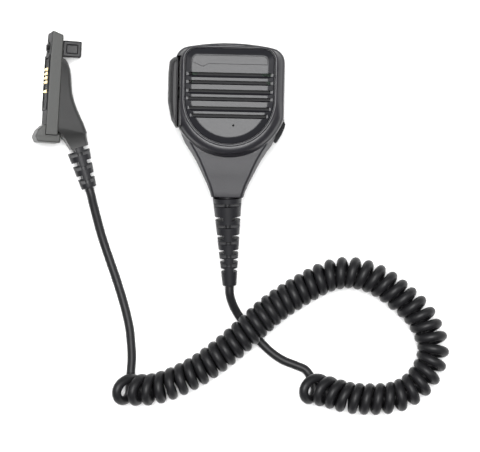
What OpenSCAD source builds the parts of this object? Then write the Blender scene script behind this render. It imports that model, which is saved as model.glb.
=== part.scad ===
// Hand microphone: a remote speaker microphone with a push-to-talk key on its left side, a rubber-covered
// earphone jack on its right side, a swivelling sprung clip on its back, a curly cord and a side-mounted
// accessory plug. It lies on its back: +Y runs up the microphone, +X to its right, +Z out of its front.
// The origin is where the clip's swivel axis meets the surface that the clip lies on. Millimetres.

/* [Head] */
// Width of the head across its straight sides
head_w = 61; // [59:0.5:62]
// Radius of the round lower end of the head
chin_r = 32.2; // [31.5:0.1:33]
// Distance from the swivel axis to the top of the head
head_top = 31.6; // [30:0.2:33]
// Radius of the head's upper corners
head_corner_r = 8.5; // [7:0.5:10]
// Height of the case's back plane above the clip's back
back_z = 11; // [11:0.1:11.5]
// Height of the plane where the two covers meet
parting_z = 25; // [24.6:0.1:25.4]
// Height of the ridge round the panel
ridge_z = 37.4; // [37:0.1:38]
// Thickness of the covers' walls
wall = 2.2; // [1.8:0.1:2.4]

/* [Neck] */
// Distance from the swivel axis to the neck's end
neck_end = 54; // [52:0.5:56]
// Half of the neck's width at its end
neck_end_half = 8.7; // [8.4:0.1:9.2]

/* [Panel] */
// Half of the panel's width, outside its bevel
panel_half = 24.6; // [24.2:0.1:24.9]
// Height of the panel's flat face
panel_z = 37.8; // [37.5:0.1:38.2]
// Width of the sloping border round the panel's flat face
panel_bevel = 3.4; // [2.5:0.1:4]
// Width of one louvre slot
slot_w = 1.6; // [1:0.1:2]

/* [Push-to-talk key] */
// Length of the key along the head
ptt_len = 37.6; // [34:0.2:38]
// Height of the key
ptt_h = 19.2; // [17:0.2:19.6]
// How far the key travels when it is pressed
ptt_travel = 1; // [0.6:0.1:1]

/* [Earphone jack] */
// Angle of the jack round the chin, from the right-hand side
jack_angle = -31; // [-34:1:-28]
// Radius of the jack's bore
jack_bore_r = 1.8; // [1.3:0.1:1.9]
// Depth of the jack's bore
jack_depth = 14; // [11:0.5:14.5]

/* [Clip] */
// Thickness of the clip's arm
arm_t = 3; // [2.4:0.1:3]
// Half of the arm's width
arm_half = 9; // [8:0.5:10]
// Radius of the swivelling base plate
base_r = 13; // [12:0.5:13]

/* [Strain reliefs] */
// Length of the microphone's strain relief outside the neck
mic_relief_len = 50; // [46:1:52]
// Downward tilt of the microphone's strain relief
mic_relief_tilt = 10; // [9:0.5:11]
// Length of the plug's strain relief outside its collar
plug_relief_len = 23.4; // [21:0.2:25]

/* [Cord] */
// Diameter of the cord
cord_d = 4.9; // [4.4:0.1:5]
// Outer diameter of the curly stretch
coil_d = 18; // [17:0.5:18.2]

/* [Plug] */
// Half of the plug frame's width
plug_half = 11.5; // [11:0.1:11.5]
// Thickness of the plug's frame
plug_t = 7; // [6.6:0.1:7.2]
// Length of the plug's frame on its contact side
plug_len = 62.3; // [60:0.5:64]

/* [Hidden] */
$fn = 48;

eps = 0.02;              // overlap that keeps cuts clean
gap = 0.1;               // running clearance between neighbours
big = 60;                // longer than any cut needs

// Head and neck
side_draft_z = 32.5;     // where the side wall turns into the shoulder
crown_r = 120;           // radius of the arched top edge
head_corner_x = head_w / 2 - head_corner_r;
head_corner_y = head_top - crown_r + sqrt(pow(crown_r - head_corner_r, 2) - pow(head_corner_x, 2));
back_round = 2;          // inset of the back plane's edge
back_round_h = 2.5;
neck_y = [-20, -38, -neck_end];
neck_half = [26, 15.8, neck_end_half];
neck_front_z = [32, 29.5, 27];
neck_chamfer = 1.9;
neck_slant = 1.13;       // how far the neck's slanting sides move across for each unit of inset

// Panel
ridge_half = 25.9;
panel_corner_x = 18;     // where the centres of the panel's upper corners lie
panel_rise = 3.2;        // how much further the panel reaches up than down
panel_low_z = 34.7;      // underside of the panel, on its ledge
ledge_half = 22.6;
ledge_z = 32.8;
louvre_y = [13.6, 9.2, 4.3, 0.1, -5.1, -9.2];
louvre_half = 21;        // half-length of the part of a slot that goes through
channel_half = 24;       // half-length of its shallow channel
channel_depth = 1.4;
strip_y = 19.1;          // lower edge of the name strip
strip_t = 0.7;
sound_hole = [2.5, -14.5];
sound_hole_r = 0.6;

// Speaker
speaker_y = 4.5;
speaker_r = 15;
flange_z = 32.3;
magnet_r = 10.5;
magnet_z = 21.5;

// Board
board_z = 17;
board_t = 1.6;
board_inset = 4.5;
board_left = -21.2;

// Case screws: posts in the back cover, bosses in the front cover
screw_at = [[-20, 21.6], [20, 21.6], [0, -27.5], [0, -40]];
screw_r = 1.1;
screw_end_z = [30, 30, 28, 26.5];
post_r = 2.7;
screw_seat_z = back_z + 2.4;

// Push-to-talk key
ptt_y = 3.8;
ptt_z = 25.8;
ptt_out = -34;           // outer face
ptt_in = -28.5;          // inner edge
well_x = -26.3;          // floor of the key's well
well_wall = 2.1;
well_gap = 1;
plunger_z = 21;
plunger_r = 2.4;
plunger_hole_r = 2.9;

// Earphone jack and its flap
jack_z = 18.2;
jack_r = 3.2;
jack_mouth = 30.2;
flap_z = 13.4;           // lower edge of the flap
flap_h = 9.6;
flap_gap = 0.35;
flap_r = [30.5, 32.9];
flap_angle = [-41.5, -20.5];
flap_hinge_r = 31.4;
flap_hinge_angle = -19;
flap_knuckle_r = 1.1;

// Clip
base_z = 8;
base_top = back_z - 0.4;
hub_r = 4.9;
hub_bore_r = 5;
ring_top = back_z + wall + 1;    // top of the boss round the swivel bore
pin_y = 14;
pin_z = 6;
pin_r = 1.2;
ear_x = [6.4, 9.4];
ear_r = 2.8;
lug_x = [3.4, 6.2];
lug_r = 1.9;
spring_r = 2.6;
spring_wire_r = 0.35;
arm_y = [-34, 26];
tooth_y = -30;
tooth_top = back_z - 0.6;

// Strain reliefs
relief_at = [0, -neck_end, 19];
relief_yaw = 2.7;
relief_r = [8.1, 3.9];
relief_core_r = 3.2;
cord_r = cord_d / 2;
cord_bore_r = cord_r + 0.05;
web_half = 2.5;
notch_w = 1.7;
mic_face_slots = [3.7, 15.7, 25.1, 32.8, 38];
mic_side_slots = [11.4, 21.7, 30.2, 35.3, 40.9];
inner_neck_r = 4.9;
inner_flange_r = 5.6;
end_wall = 3;

// Plug, in its own frame: x from the contact face to the back, y up its length, z across it
plug_at = [-104.35, -25.3, 12.75];
plug_turn = -2.1;
plug_lean = 12;
plug_foot_half = 10;
plug_screw_y = 53.3;
plug_screw_r = 1.9;
plug_shank_r = 1.6;      // slimmer behind the tip, so that the screw stays captive
screw_tip = 1.2;         // how far the screw's tip stands proud of the contact face
screw_thread = 3;        // length of the screw's thicker, threaded end
paddle = [11.2, 9.2, 5];
contact_y = [41, 38.6, 36.2, 33.8, 28.6];
contact_z = [-3, 3];
block_y = [21, 46];
block_half = 7;
seal_w = 1.6;
plug_relief_at = [19.9, -1.8, 0];
plug_relief_lean = 19.5;
plug_relief_r = [6.55, 4.25];
plug_face_slots = [3.7, 11.6, 19.5];
plug_side_slots = [0.9, 8.75, 16.6];

// ---- Cord routes -------------------------------------------------------------------------------------

function turn_z(v, a) = [v.x * cos(a) - v.y * sin(a), v.x * sin(a) + v.y * cos(a), v.z];
function turn_y(v, a) = [v.x * cos(a) + v.z * sin(a), v.y, v.z * cos(a) - v.x * sin(a)];
function plug_to_row(v) = plug_at + turn_z(turn_y(v, plug_lean), plug_turn);

// Directions in which the two strain reliefs point, and points along their axes
relief_dir = turn_z([0, -cos(mic_relief_tilt), -sin(mic_relief_tilt)], relief_yaw);
function mic_relief_point(s) = relief_at + s * relief_dir;
function plug_relief_point(s) =
    plug_to_row(plug_relief_at + s * [sin(plug_relief_lean), -cos(plug_relief_lean), 0]);

// Lead from the microphone down to the surface, under the coil and into the coil's near end
lead_mic_route = concat(
    [for (s = [-4, 0, 5]) mic_relief_point(mic_relief_len + s)],
    [
        [4.2, -113.5, 6.6], [6.4, -118, 3.7], [9, -121.8, 2.6], [15, -129, 2.5], [21.4, -135.9, 2.5],
        [27.5, -141.3, 2.5], [34, -145.3, 2.5], [41, -148.8, 2.5], [47, -152, 2.5], [50, -156.5, 2.5]
    ]
);

// Axis of the curly stretch, from the plug's end to the microphone's end; it humps over the lead
coil_route = [
    [-60, -162.9, 9.1], [-50, -163.3, 9.1], [-40, -162.7, 9.1], [-31, -160.1, 9.1], [-21, -155.4, 9.2],
    [-11, -149.3, 10.2], [-1, -141.4, 12.8], [8.9, -132.5, 14.7], [18.8, -123, 14.7],
    [28.8, -114.3, 12.6], [38.7, -107.6, 10], [48.7, -101.4, 9.1], [58.8, -96.4, 9.1], [68.9, -94.5, 9.1],
    [79, -96, 9.1], [89.3, -100.5, 9.1], [99.6, -108.2, 9.1], [108.8, -116.4, 9.1], [114.6, -125.8, 9.1],
    [117.7, -134.8, 9.1], [116.7, -143.8, 9.1], [113, -151.8, 9.1], [106.4, -159, 9.1],
    [98.6, -163.4, 9.1], [90.7, -165, 9.1], [80.6, -165.5, 9.1], [70.5, -164.9, 9.1],
    [60.3, -162.3, 9.1], [51, -160.4, 9.1], [43, -160, 9.1]
];

// Lead from the coil's far end to the plug's strain relief
lead_plug_route = concat(
    [
        [-54, -159, 2.5], [-52.4, -153, 2.5], [-52.1, -145.7, 2.5], [-52.6, -138.3, 2.5],
        [-53.6, -129.9, 2.5], [-55.5, -121.4, 2.5], [-58.3, -111.9, 2.5], [-61.3, -102.9, 2.5],
        [-64.6, -93.9, 2.5], [-67.9, -85, 2.6], [-71, -76, 3.2], [-73.4, -67.5, 4.4], [-75.6, -59.5, 5.7]
    ],
    [for (s = [4, 0, -4]) plug_relief_point(plug_relief_len + s)]
);

// Points of one ring round point i of a route, square to the route
function route_dir(p, i) =
    let (step = p[min(i + 1, len(p) - 1)] - p[max(i - 1, 0)]) step / norm(step);
function route_ring(p, i, r, sides) =
    let (
        ahead = route_dir(p, i),
        flat = cross([0, 0, 1], ahead),
        left = flat / norm(flat),
        up = cross(ahead, left)
    )
    [for (k = [0 : sides - 1]) p[i] + r * (cos(360 * k / sides) * left + sin(360 * k / sides) * up)];

// Tube of radius r that follows a route
module swept_tube(p, r, sides) {
    n = len(p);
    points = [for (i = [0 : n - 1]) each route_ring(p, i, r, sides)];
    walls = [
        for (i = [0 : n - 2], k = [0 : sides - 1])
            let (a = i * sides + k, b = i * sides + (k + 1) % sides)
            each [[a, a + sides, b + sides], [a, b + sides, b]]
    ];
    first_cap = [for (k = [0 : sides - 1]) k];
    last_cap = [for (k = [sides - 1 : -1 : 0]) (n - 1) * sides + k];
    polyhedron(points = points, faces = concat([first_cap], walls, [last_cap]), convexity = 10);
}

// ---- Shared outlines and frames ----------------------------------------------------------------------

// Outline of the head seen from the front, drawn in by inset: a round chin, straight sides, and an
// arched top whose arc runs into the arcs of the corners
module head_outline(inset = 0) {
    half = head_w / 2 - inset;
    crown_half = head_corner_x * (crown_r - inset) / (crown_r - head_corner_r);
    intersection() {
        union() {
            circle(r = chin_r - inset, $fn = 96);
            translate([-half, 0])
                square([2 * half, head_corner_y]);
            translate([-crown_half, 0])
                square([2 * crown_half, head_top]);
            for (side = [-1, 1])
                translate([side * head_corner_x, head_corner_y])
                    circle(r = head_corner_r - inset, $fn = 32);
        }
        translate([-half, -chin_r])
            square([2 * half, chin_r + head_top]);
        translate([0, head_top - crown_r])
            circle(r = crown_r - inset, $fn = 288);
    }
}

// Rectangle with rounded corners, centred on the origin
module rounded_rect(w, h, r) {
    square([w - 2 * r, h], center = true);
    square([w, h - 2 * r], center = true);
    for (x = [-1, 1], y = [-1, 1])
        translate([x * (w / 2 - r), y * (h / 2 - r)])
            circle(r = r, $fn = 32);
}

// Outline of the panel and of the ridge round it, for a given half-width
module panel_outline(half) {
    corner_r = half - panel_corner_x;
    top = half + panel_rise;
    circle(r = half, $fn = 64);
    translate([-half, 0])
        square([2 * half, top - corner_r]);
    translate([-panel_corner_x, 0])
        square([2 * panel_corner_x, top]);
    for (side = [-1, 1])
        translate([side * panel_corner_x, top - corner_r])
            circle(r = corner_r, $fn = 32);
}

// Flat slice of an outline at height z
module slice(z, h = 0.1) {
    translate([0, 0, z])
        linear_extrude(h)
            children();
}

// Cross-section of the neck at station i, from the parting plane to z_face, drawn in by inset
module neck_slab(i, z_from, z_face, chamfer, inset = 0) {
    half = neck_half[i] - inset;
    lip = z_face > z_from ? -1 : 1;
    translate([0, neck_y[i] + (i == 2 ? 0.1 : 0), 0])
        rotate([90, 0, 0])
            linear_extrude(0.1)
                polygon([
                    [-half, z_from], [half, z_from], [half, z_face + lip * chamfer],
                    [half - chamfer, z_face], [chamfer - half, z_face], [-half, z_face + lip * chamfer]
                ]);
}

// Outside of the neck, in front of and behind the parting plane
module front_neck() {
    for (i = [0, 1])
        hull() {
            neck_slab(i, parting_z, neck_front_z[i], neck_chamfer);
            neck_slab(i + 1, parting_z, neck_front_z[i + 1], neck_chamfer);
        }
}

module back_neck() {
    for (i = [0, 1])
        hull() {
            neck_slab(i, parting_z, back_z, back_round);
            neck_slab(i + 1, parting_z, back_z, back_round);
        }
}

// Inside of the neck, which tapers in one straight run
module front_neck_inside() {
    hull() {
        neck_slab(0, parting_z - eps, neck_front_z[0] - wall, neck_chamfer, wall + 0.8);
        neck_slab(2, parting_z - eps, neck_front_z[2] - wall, neck_chamfer, wall);
    }
}

module back_neck_inside() {
    hull() {
        neck_slab(0, parting_z + eps, back_z + wall, back_round, wall + 0.8);
        neck_slab(2, parting_z + eps, back_z + wall, back_round, wall);
    }
}

// Space kept clear of the covers' cavities: the end wall of the neck and the walls of the key's well
module solid_zones() {
    translate([-big / 2, -neck_end - 1, 0])
        cube([big, end_wall + 1, big]);
    translate([-big, ptt_y - ptt_len / 2 - well_gap - well_wall, 0])
        cube([big + well_x + well_wall, ptt_len + 2 * (well_gap + well_wall), big]);
}

// Well that the push-to-talk key sits in
module ptt_well() {
    translate([-big, ptt_y - ptt_len / 2 - well_gap, ptt_z - ptt_h / 2 - well_gap])
        cube([big + well_x, ptt_len + 2 * well_gap, ptt_h + 2 * well_gap]);
}

// Frames: along the strain relief, along the jack's axis, and in the plug
module along_relief() {
    translate(relief_at)
        rotate([90 + mic_relief_tilt, 0, relief_yaw])
            children();
}

module along_jack() {
    translate([0, 0, jack_z])
        rotate([0, 90, jack_angle])
            children();
}

module in_plug() {
    translate(plug_at)
        rotate([0, 0, plug_turn])
            rotate([0, plug_lean, 0])
                children();
}

// Along the axis of the plug's strain relief, within the plug's own frame
module on_relief_axis() {
    translate(plug_relief_at)
        rotate([90, 0, plug_relief_lean])
            children();
}

module along_plug_relief() {
    in_plug()
        on_relief_axis()
            children();
}

// Cylinder along +X, starting at [x, y, z]
module rod_x(at, r, h) {
    translate(at)
        rotate([0, 90, 0])
            cylinder(r = r, h = h);
}

// Ring-shaped washer or tube
module ring(r_out, r_in, h) {
    difference() {
        cylinder(r = r_out, h = h);
        translate([0, 0, -1])
            cylinder(r = r_in, h = h + 2);
    }
}

// Sector of a ring between two angles
module ring_sector(r, angles, h) {
    rotate([0, 0, angles[0]])
        rotate_extrude(angle = angles[1] - angles[0], $fn = 96)
            translate([r[0], 0])
                square([r[1] - r[0], h]);
}

// ---- Covers ------------------------------------------------------------------------------------------

module front_cover() {
    color([0.25, 0.25, 0.27])
        difference() {
            union() {
                hull() {
                    slice(parting_z, side_draft_z - parting_z) head_outline();
                    slice(ridge_z - 0.1) panel_outline(ridge_half);
                }
                front_neck();
            }
            difference() {
                union() {
                    hull() {
                        slice(parting_z - eps, side_draft_z - parting_z - 1) head_outline(wall);
                        slice(ledge_z - 0.1) panel_outline(ledge_half);
                    }
                    front_neck_inside();
                }
                solid_zones();
                for (i = [0 : len(screw_at) - 1])
                    translate([screw_at[i].x, screw_at[i].y, parting_z - 1])
                        cylinder(r = post_r, h = big);
            }
            slice(ledge_z - 1, 3) panel_outline(ledge_half);
            slice(panel_low_z, 5) panel_outline(panel_half + 0.15);
            ptt_well();
            for (i = [0 : len(screw_at) - 1])
                translate([screw_at[i].x, screw_at[i].y, parting_z - 1])
                    cylinder(r = screw_r + 0.05, h = screw_end_z[i] + 0.5 - parting_z + 1);
            translate(relief_at + [0, -1, 0])
                rotate([-90 + mic_relief_tilt, 0, 0])
                    cylinder(r = inner_neck_r + gap, h = end_wall + 2);
        }
}

module back_cover() {
    color([0.22, 0.22, 0.24])
        difference() {
            union() {
                hull() {
                    slice(back_z) head_outline(back_round);
                    slice(back_z + back_round_h, parting_z - back_z - back_round_h) head_outline();
                }
                back_neck();
            }
            difference() {
                union() {
                    slice(back_z + wall, big) head_outline(wall);
                    back_neck_inside();
                }
                solid_zones();
                for (at = screw_at)
                    translate([at.x, at.y, 0])
                        cylinder(r = post_r, h = big);
                cylinder(r = hub_r + wall, h = ring_top);
            }
            ptt_well();
            body_seal_groove();
            cylinder(r = hub_bore_r, h = big);
            for (at = screw_at)
                translate([at.x, at.y, 0]) {
                    cylinder(r = screw_r + 0.15, h = big);
                    cylinder(r = 2.4, h = screw_seat_z);
                }
            rod_x([well_x - 1, ptt_y, plunger_z], plunger_hole_r, well_wall + 2);
            jack_recess();
            relief_slot();
        }
}

// Groove for the gasket in the back cover's rim
module body_seal_groove() {
    slice(parting_z - 0.9, 2)
        difference() {
            rim_outline(0.55);
            rim_outline(1.65);
        }
}

// Outline of the whole case on the parting plane, less the key's well, drawn in by inset
module rim_outline(inset) {
    difference() {
        union() {
            head_outline(inset);
            polygon([
                for (i = [0 : 2]) [neck_half[i] - inset * neck_slant, neck_y[i] + (i == 2 ? inset : 0)],
                for (i = [2 : -1 : 0]) [inset * neck_slant - neck_half[i], neck_y[i] + (i == 2 ? inset : 0)]
            ]);
        }
        translate([-big, ptt_y - ptt_len / 2 - well_gap - inset])
            square([big + well_x + inset, ptt_len + 2 * (well_gap + inset)]);
    }
}

// Hole for the jack and the recess that its flap closes
module jack_recess() {
    along_jack()
        cylinder(r = jack_r + 0.1, h = big);
    translate([0, 0, flap_z - flap_gap])
        ring_sector([flap_r[0] - 0.2, flap_r[1] + 4], flap_angle + [-0.8, 0.8], flap_h + 2 * flap_gap);
    flap_hinge()
        translate([0, 0, -flap_gap - 0.25])
            cylinder(r = flap_knuckle_r + 0.5, h = flap_h + 2 * flap_gap + 0.5);
}

// Slot that the strain relief's neck drops into
module relief_slot() {
    translate(relief_at + [0, -1, 0])
        rotate([-90 + mic_relief_tilt, 0, 0])
            cylinder(r = inner_neck_r + gap, h = end_wall + 2);
    translate([-inner_neck_r - gap / 2, -neck_end - 1, relief_at.z])
        cube([2 * inner_neck_r + gap, end_wall + 2, big]);
}

module body_seal() {
    color([0.12, 0.12, 0.12])
        slice(parting_z - 0.9, 0.8)
            difference() {
                rim_outline(0.65);
                rim_outline(1.55);
                translate([-inner_neck_r - 2 * gap, -neck_end - 1])
                    square([2 * (inner_neck_r + 2 * gap), end_wall + 3]);
            }
}

module case_screws() {
    color("silver")
        for (i = [0 : len(screw_at) - 1])
            translate([screw_at[i].x, screw_at[i].y, 0])
                difference() {
                    union() {
                        translate([0, 0, screw_seat_z])
                            cylinder(r = screw_r, h = screw_end_z[i] - screw_seat_z);
                        translate([0, 0, screw_seat_z - 1.6])
                            cylinder(r = 2.1, h = 1.6);
                    }
                    translate([-1.4, -0.3, screw_seat_z - 2])
                        cube([2.8, 0.6, 1.2]);
                    translate([-0.3, -1.4, screw_seat_z - 2])
                        cube([0.6, 2.8, 1.2]);
                }
}

// ---- Panel, speaker and microphone -------------------------------------------------------------------

module grille_panel() {
    color([0.38, 0.38, 0.4])
        difference() {
            hull() {
                slice(panel_low_z, 1.4) panel_outline(panel_half);
                slice(panel_z - 0.1) panel_outline(panel_half - panel_bevel);
            }
            for (y = louvre_y) {
                translate([-louvre_half, y - slot_w / 2, 0])
                    cube([2 * louvre_half, slot_w, big]);
                translate([-channel_half, y, panel_z - channel_depth])
                    rotate([90, 0, 90])
                        linear_extrude(2 * channel_half)
                            polygon([
                                [slot_w / 2, 0], [slot_w / 2, 5], [-slot_w / 2 - 2.5, 5],
                                [-slot_w / 2 - 0.8, channel_depth], [-slot_w / 2, 0]
                            ]);
            }
            translate([sound_hole.x, sound_hole.y, 0])
                cylinder(r = sound_hole_r, h = big);
            slice(panel_z - strip_t, 2) strip_outline(0);
        }
}

// Outline of the blank inlay at the top of the panel, drawn in by inset
module strip_outline(inset) {
    intersection() {
        panel_outline(panel_half - panel_bevel - 0.6 - inset);
        translate([0, inset])
            polygon([
                [-big, strip_y + 0.8], [-21, strip_y + 0.8], [-15, strip_y - 1.6], [-11.6, strip_y],
                [big, strip_y], [big, big], [-big, big]
            ]);
    }
}

module name_strip() {
    color([0.4, 0.4, 0.42])
        slice(panel_z - strip_t, strip_t) strip_outline(0.12);
}

module speaker_cloth() {
    color([0.08, 0.08, 0.08])
        slice(panel_low_z - 0.5, 0.5)
            intersection() {
                circle(r = ledge_half - 0.2, $fn = 96);
                translate([-big, -10.4])
                    square([2 * big, 26.4]);
            }
}

module at_speaker() {
    translate([0, speaker_y, 0])
        children();
}

module speaker_frame() {
    color([0.6, 0.6, 0.62])
        at_speaker()
            rotate_extrude()
                polygon([
                    [magnet_r + 0.2, magnet_z + 5.6], [speaker_r - 2.6, magnet_z + 5.6],
                    [speaker_r - 1.6, flange_z], [speaker_r, flange_z], [speaker_r, flange_z + 1],
                    [speaker_r - 2.4, flange_z + 1], [speaker_r - 3.4, magnet_z + 6.6],
                    [magnet_r - 3, magnet_z + 6.6], [magnet_r - 3, magnet_z + 5.6]
                ]);
}

module speaker_cone() {
    color([0.15, 0.15, 0.16])
        at_speaker()
            rotate_extrude()
                polygon([
                    [0, flange_z - 1.4], [3.6, flange_z - 2.8], [speaker_r - 2.9, flange_z - 0.2],
                    [speaker_r - 2.9, flange_z + 0.2], [3.6, flange_z - 2.2], [0, flange_z - 0.8]
                ]);
}

module speaker_magnet() {
    color([0.3, 0.3, 0.32])
        at_speaker() {
            translate([0, 0, magnet_z])
                cylinder(r = magnet_r, h = 5.6);
            translate([0, 0, magnet_z + 5.6])
                cylinder(r = 3, h = 1.6);
        }
}

module speaker_gasket() {
    color([0.1, 0.1, 0.1])
        at_speaker()
            translate([0, 0, flange_z + 1])
                ring(speaker_r, speaker_r - 2, panel_low_z - 0.5 - flange_z - 1);
}

module mic_capsule() {
    color("silver")
        translate([sound_hole.x, sound_hole.y, 30.6])
            cylinder(r = 2.9, h = 3);
}

module mic_boot() {
    color([0.1, 0.1, 0.1])
        translate([sound_hole.x, sound_hole.y, 29.6])
            difference() {
                cylinder(r = 3.9, h = panel_low_z - 29.6);
                translate([0, 0, 1])
                    cylinder(r = 2.95, h = 3.1);
                translate([0, 0, -1])
                    cylinder(r = 1.5, h = big);
            }
}

// ---- Board -------------------------------------------------------------------------------------------

module main_board() {
    color([0.1, 0.35, 0.2])
        difference() {
            slice(board_z, board_t) head_outline(board_inset);
            translate([-big, -big / 2, 0])
                cube([big + board_left, big, big]);
            for (at = screw_at)
                translate([at.x, at.y, 0])
                    cylinder(r = post_r + 0.3, h = big);
            along_jack()
                translate([-big / 2, -jack_r - 0.5, jack_mouth - 17])
                    cube([big, 2 * jack_r + 1, big]);
        }
}

module board_parts() {
    color([0.15, 0.15, 0.15])
        translate([0, 0, board_z + board_t]) {
            translate([-12, -22, 0]) cube([8, 8, 1.4]);
            translate([6, -24, 0]) cube([5, 4, 1.2]);
            for (k = [0 : 4])
                translate([-8 + 4 * k, 22, 0])
                    cube([1.6, 2.6, 0.9]);
            translate([15, 2, 0]) cylinder(r = 2, h = 4.5);
            translate([15, 9, 0]) cylinder(r = 2, h = 4.5);
        }
}

// ---- Push-to-talk key --------------------------------------------------------------------------------

// Rounded slab in the plane of the case's side, from x to x + h
module key_slab(x, h, inset, r) {
    translate([x, ptt_y, ptt_z])
        rotate([90, 0, 90])
            linear_extrude(h)
                rounded_rect(ptt_len - 2 * inset, ptt_h - 2 * inset, r);
}

module ptt_button() {
    color([0.18, 0.18, 0.18])
        difference() {
            hull() {
                key_slab(ptt_in - 3, 3, 0, 4, $fn = 32);
                key_slab(ptt_out, 0.1, 1.8, 3.5, $fn = 32);
            }
            difference() {
                key_slab(ptt_in - 3.4, 5, 1.6, 2.6);
                rod_x([ptt_out, ptt_y, plunger_z], plunger_r + 1, 4);
            }
            rod_x([ptt_in - 3.4, ptt_y, plunger_z], plunger_r, 5);
        }
}

module ptt_plunger() {
    wall_in = well_x + well_wall;
    color([0.75, 0.75, 0.72]) {
        rod_x([ptt_in - 3.4, ptt_y, plunger_z], plunger_r, wall_in - ptt_in + 3.5);
        rod_x([wall_in + 0.1, ptt_y, plunger_z], 3.6, 0.9);
        rod_x([wall_in + 1, ptt_y, plunger_z], 1.5, 0.6);
    }
}

module ptt_seal() {
    color([0.1, 0.1, 0.1])
        translate([well_x - 2.6, ptt_y, plunger_z])
            rotate([0, 90, 0])
                ring(plunger_r + 0.7, plunger_r + 0.15, 1.6);
}

module ptt_frame() {
    color([0.12, 0.12, 0.12])
        difference() {
            key_slab(well_x - 1, 1, -0.8, 1, $fn = 32);
            rod_x([well_x - 2, ptt_y, plunger_z], plunger_hole_r, 3);
        }
}

module ptt_switch() {
    nub_x = well_x + well_wall + 1.6 + ptt_travel + 0.1;
    color([0.2, 0.2, 0.2]) {
        translate([nub_x + 1, ptt_y - 3, board_z + board_t])
            cube([4, 6, 4.8]);
        rod_x([nub_x, ptt_y, plunger_z], 1.3, 1);
    }
}

// ---- Earphone jack -----------------------------------------------------------------------------------

module jack_socket() {
    color([0.1, 0.1, 0.1])
        along_jack()
            difference() {
                translate([0, 0, jack_mouth - jack_depth - 1.6])
                    cylinder(r = jack_r, h = jack_depth + 1.6);
                translate([0, 0, jack_mouth - jack_depth])
                    cylinder(r = jack_bore_r, h = big);
            }
}

module flap_hinge() {
    translate([flap_hinge_r * cos(flap_hinge_angle), flap_hinge_r * sin(flap_hinge_angle), flap_z])
        children();
}

module jack_cover() {
    color([0.14, 0.14, 0.15]) {
        translate([0, 0, flap_z])
            ring_sector(flap_r, flap_angle, flap_h);
        flap_hinge()
            cylinder(r = flap_knuckle_r, h = flap_h);
    }
}

// ---- Clip --------------------------------------------------------------------------------------------

// The same shape on the left and on the right
module both_sides() {
    children();
    mirror([1, 0, 0])
        children();
}

module clip_base() {
    color([0.13, 0.13, 0.13])
        difference() {
            union() {
                translate([0, 0, base_z])
                    cylinder(r = base_r, h = base_top - base_z, $fn = 96);
                translate([-ear_x[1], 5, pin_z + spring_r + spring_wire_r + 0.05])
                    cube([2 * ear_x[1], 12, base_top - pin_z - spring_r - spring_wire_r - 0.05]);
                both_sides() {
                    rod_x([ear_x[0], pin_y, pin_z], ear_r, ear_x[1] - ear_x[0]);
                    translate([ear_x[0], pin_y - ear_r, pin_z])
                        cube([ear_x[1] - ear_x[0], 2 * ear_r, base_top - pin_z]);
                }
            }
            translate([0, 0, base_z + 0.8])
                cylinder(r = hub_r, h = big);
            rod_x([-big / 2, pin_y, pin_z], pin_r, big);
            translate([-2.9, pin_y - spring_r - 0.7, base_z - 1])
                cube([5.8, 4, 2.05]);
        }
}

module clip_hub() {
    color("silver")
        difference() {
            translate([0, 0, base_z + 0.8])
                cylinder(r = hub_r, h = ring_top + 0.2 - base_z - 0.8);
            translate([0, 0, base_z + 2])
                cylinder(r = 1.4, h = big);
        }
}

module clip_retainer() {
    color("silver")
        translate([0, 0, ring_top + 0.2])
            ring(7, 1.5, 0.9);
}

module hub_screw() {
    color("gray") {
        translate([0, 0, base_z + 2.2])
            cylinder(r = 1.4, h = ring_top + 1.1 - base_z - 2.2);
        translate([0, 0, ring_top + 1.1])
            cylinder(r = 2.6, h = 1.2);
    }
}

module clip_pin() {
    color("silver")
        rod_x([-ear_x[1], pin_y, pin_z], pin_r, 2 * ear_x[1]);
}

module clip_arm() {
    color([0.13, 0.13, 0.13])
        difference() {
            union() {
                translate([0, (arm_y[0] + arm_y[1]) / 2, 0])
                    linear_extrude(arm_t)
                        rounded_rect(2 * arm_half, arm_y[1] - arm_y[0], 4);
                translate([-arm_half + 1.5, arm_y[0] + 1, arm_t - eps])
                    cube([2 * arm_half - 3, tooth_y - arm_y[0] - 1, tooth_top - arm_t]);
                both_sides() {
                    rod_x([lug_x[0], pin_y, pin_z], lug_r, lug_x[1] - lug_x[0]);
                    translate([lug_x[0], pin_y - lug_r, arm_t - eps])
                        cube([lug_x[1] - lug_x[0], 2 * lug_r, pin_z - arm_t]);
                }
            }
            rod_x([-big / 2, pin_y, pin_z], pin_r + 0.1, big);
            translate([-3, pin_y - 1, arm_t - 2.3])
                cube([1.4, 5.8, 3]);
        }
}

module clip_spring() {
    color("lightgray") {
        for (k = [0 : 5])
            translate([-2.3 + k * 0.92, pin_y, pin_z])
                rotate([0, 90, 0])
                    rotate_extrude()
                        translate([spring_r, 0])
                            circle(r = spring_wire_r);
        spring_leg(2.3, 3, spring_r);
        spring_leg(-2.3, 4, -spring_r);
    }
}

module spring_leg(x, length, dz) {
    translate([x, pin_y, pin_z + dz])
        rotate([-90, 0, 0])
            cylinder(r = spring_wire_r - 0.07, h = length);
}

// ---- Strain reliefs and cord -------------------------------------------------------------------------

// Tapered strain relief along +Z, with slots cut alternately from its faces and from its sides
module ribbed_relief(length, r, face_slots, side_slots, start = 0) {
    difference() {
        translate([0, 0, -start])
            cylinder(r1 = r[0], r2 = r[1], h = length + start);
        difference() {
            union() {
                for (s = face_slots, side = [-1, 1])
                    translate([-big / 2, side > 0 ? web_half : -web_half - big, s - notch_w / 2])
                        cube([big, big, notch_w]);
                for (s = side_slots, side = [-1, 1])
                    translate([side > 0 ? web_half : -web_half - big, -big / 2, s - notch_w / 2])
                        cube([big, big, notch_w]);
            }
            cylinder(r = relief_core_r, h = length);
        }
    }
}

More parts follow.
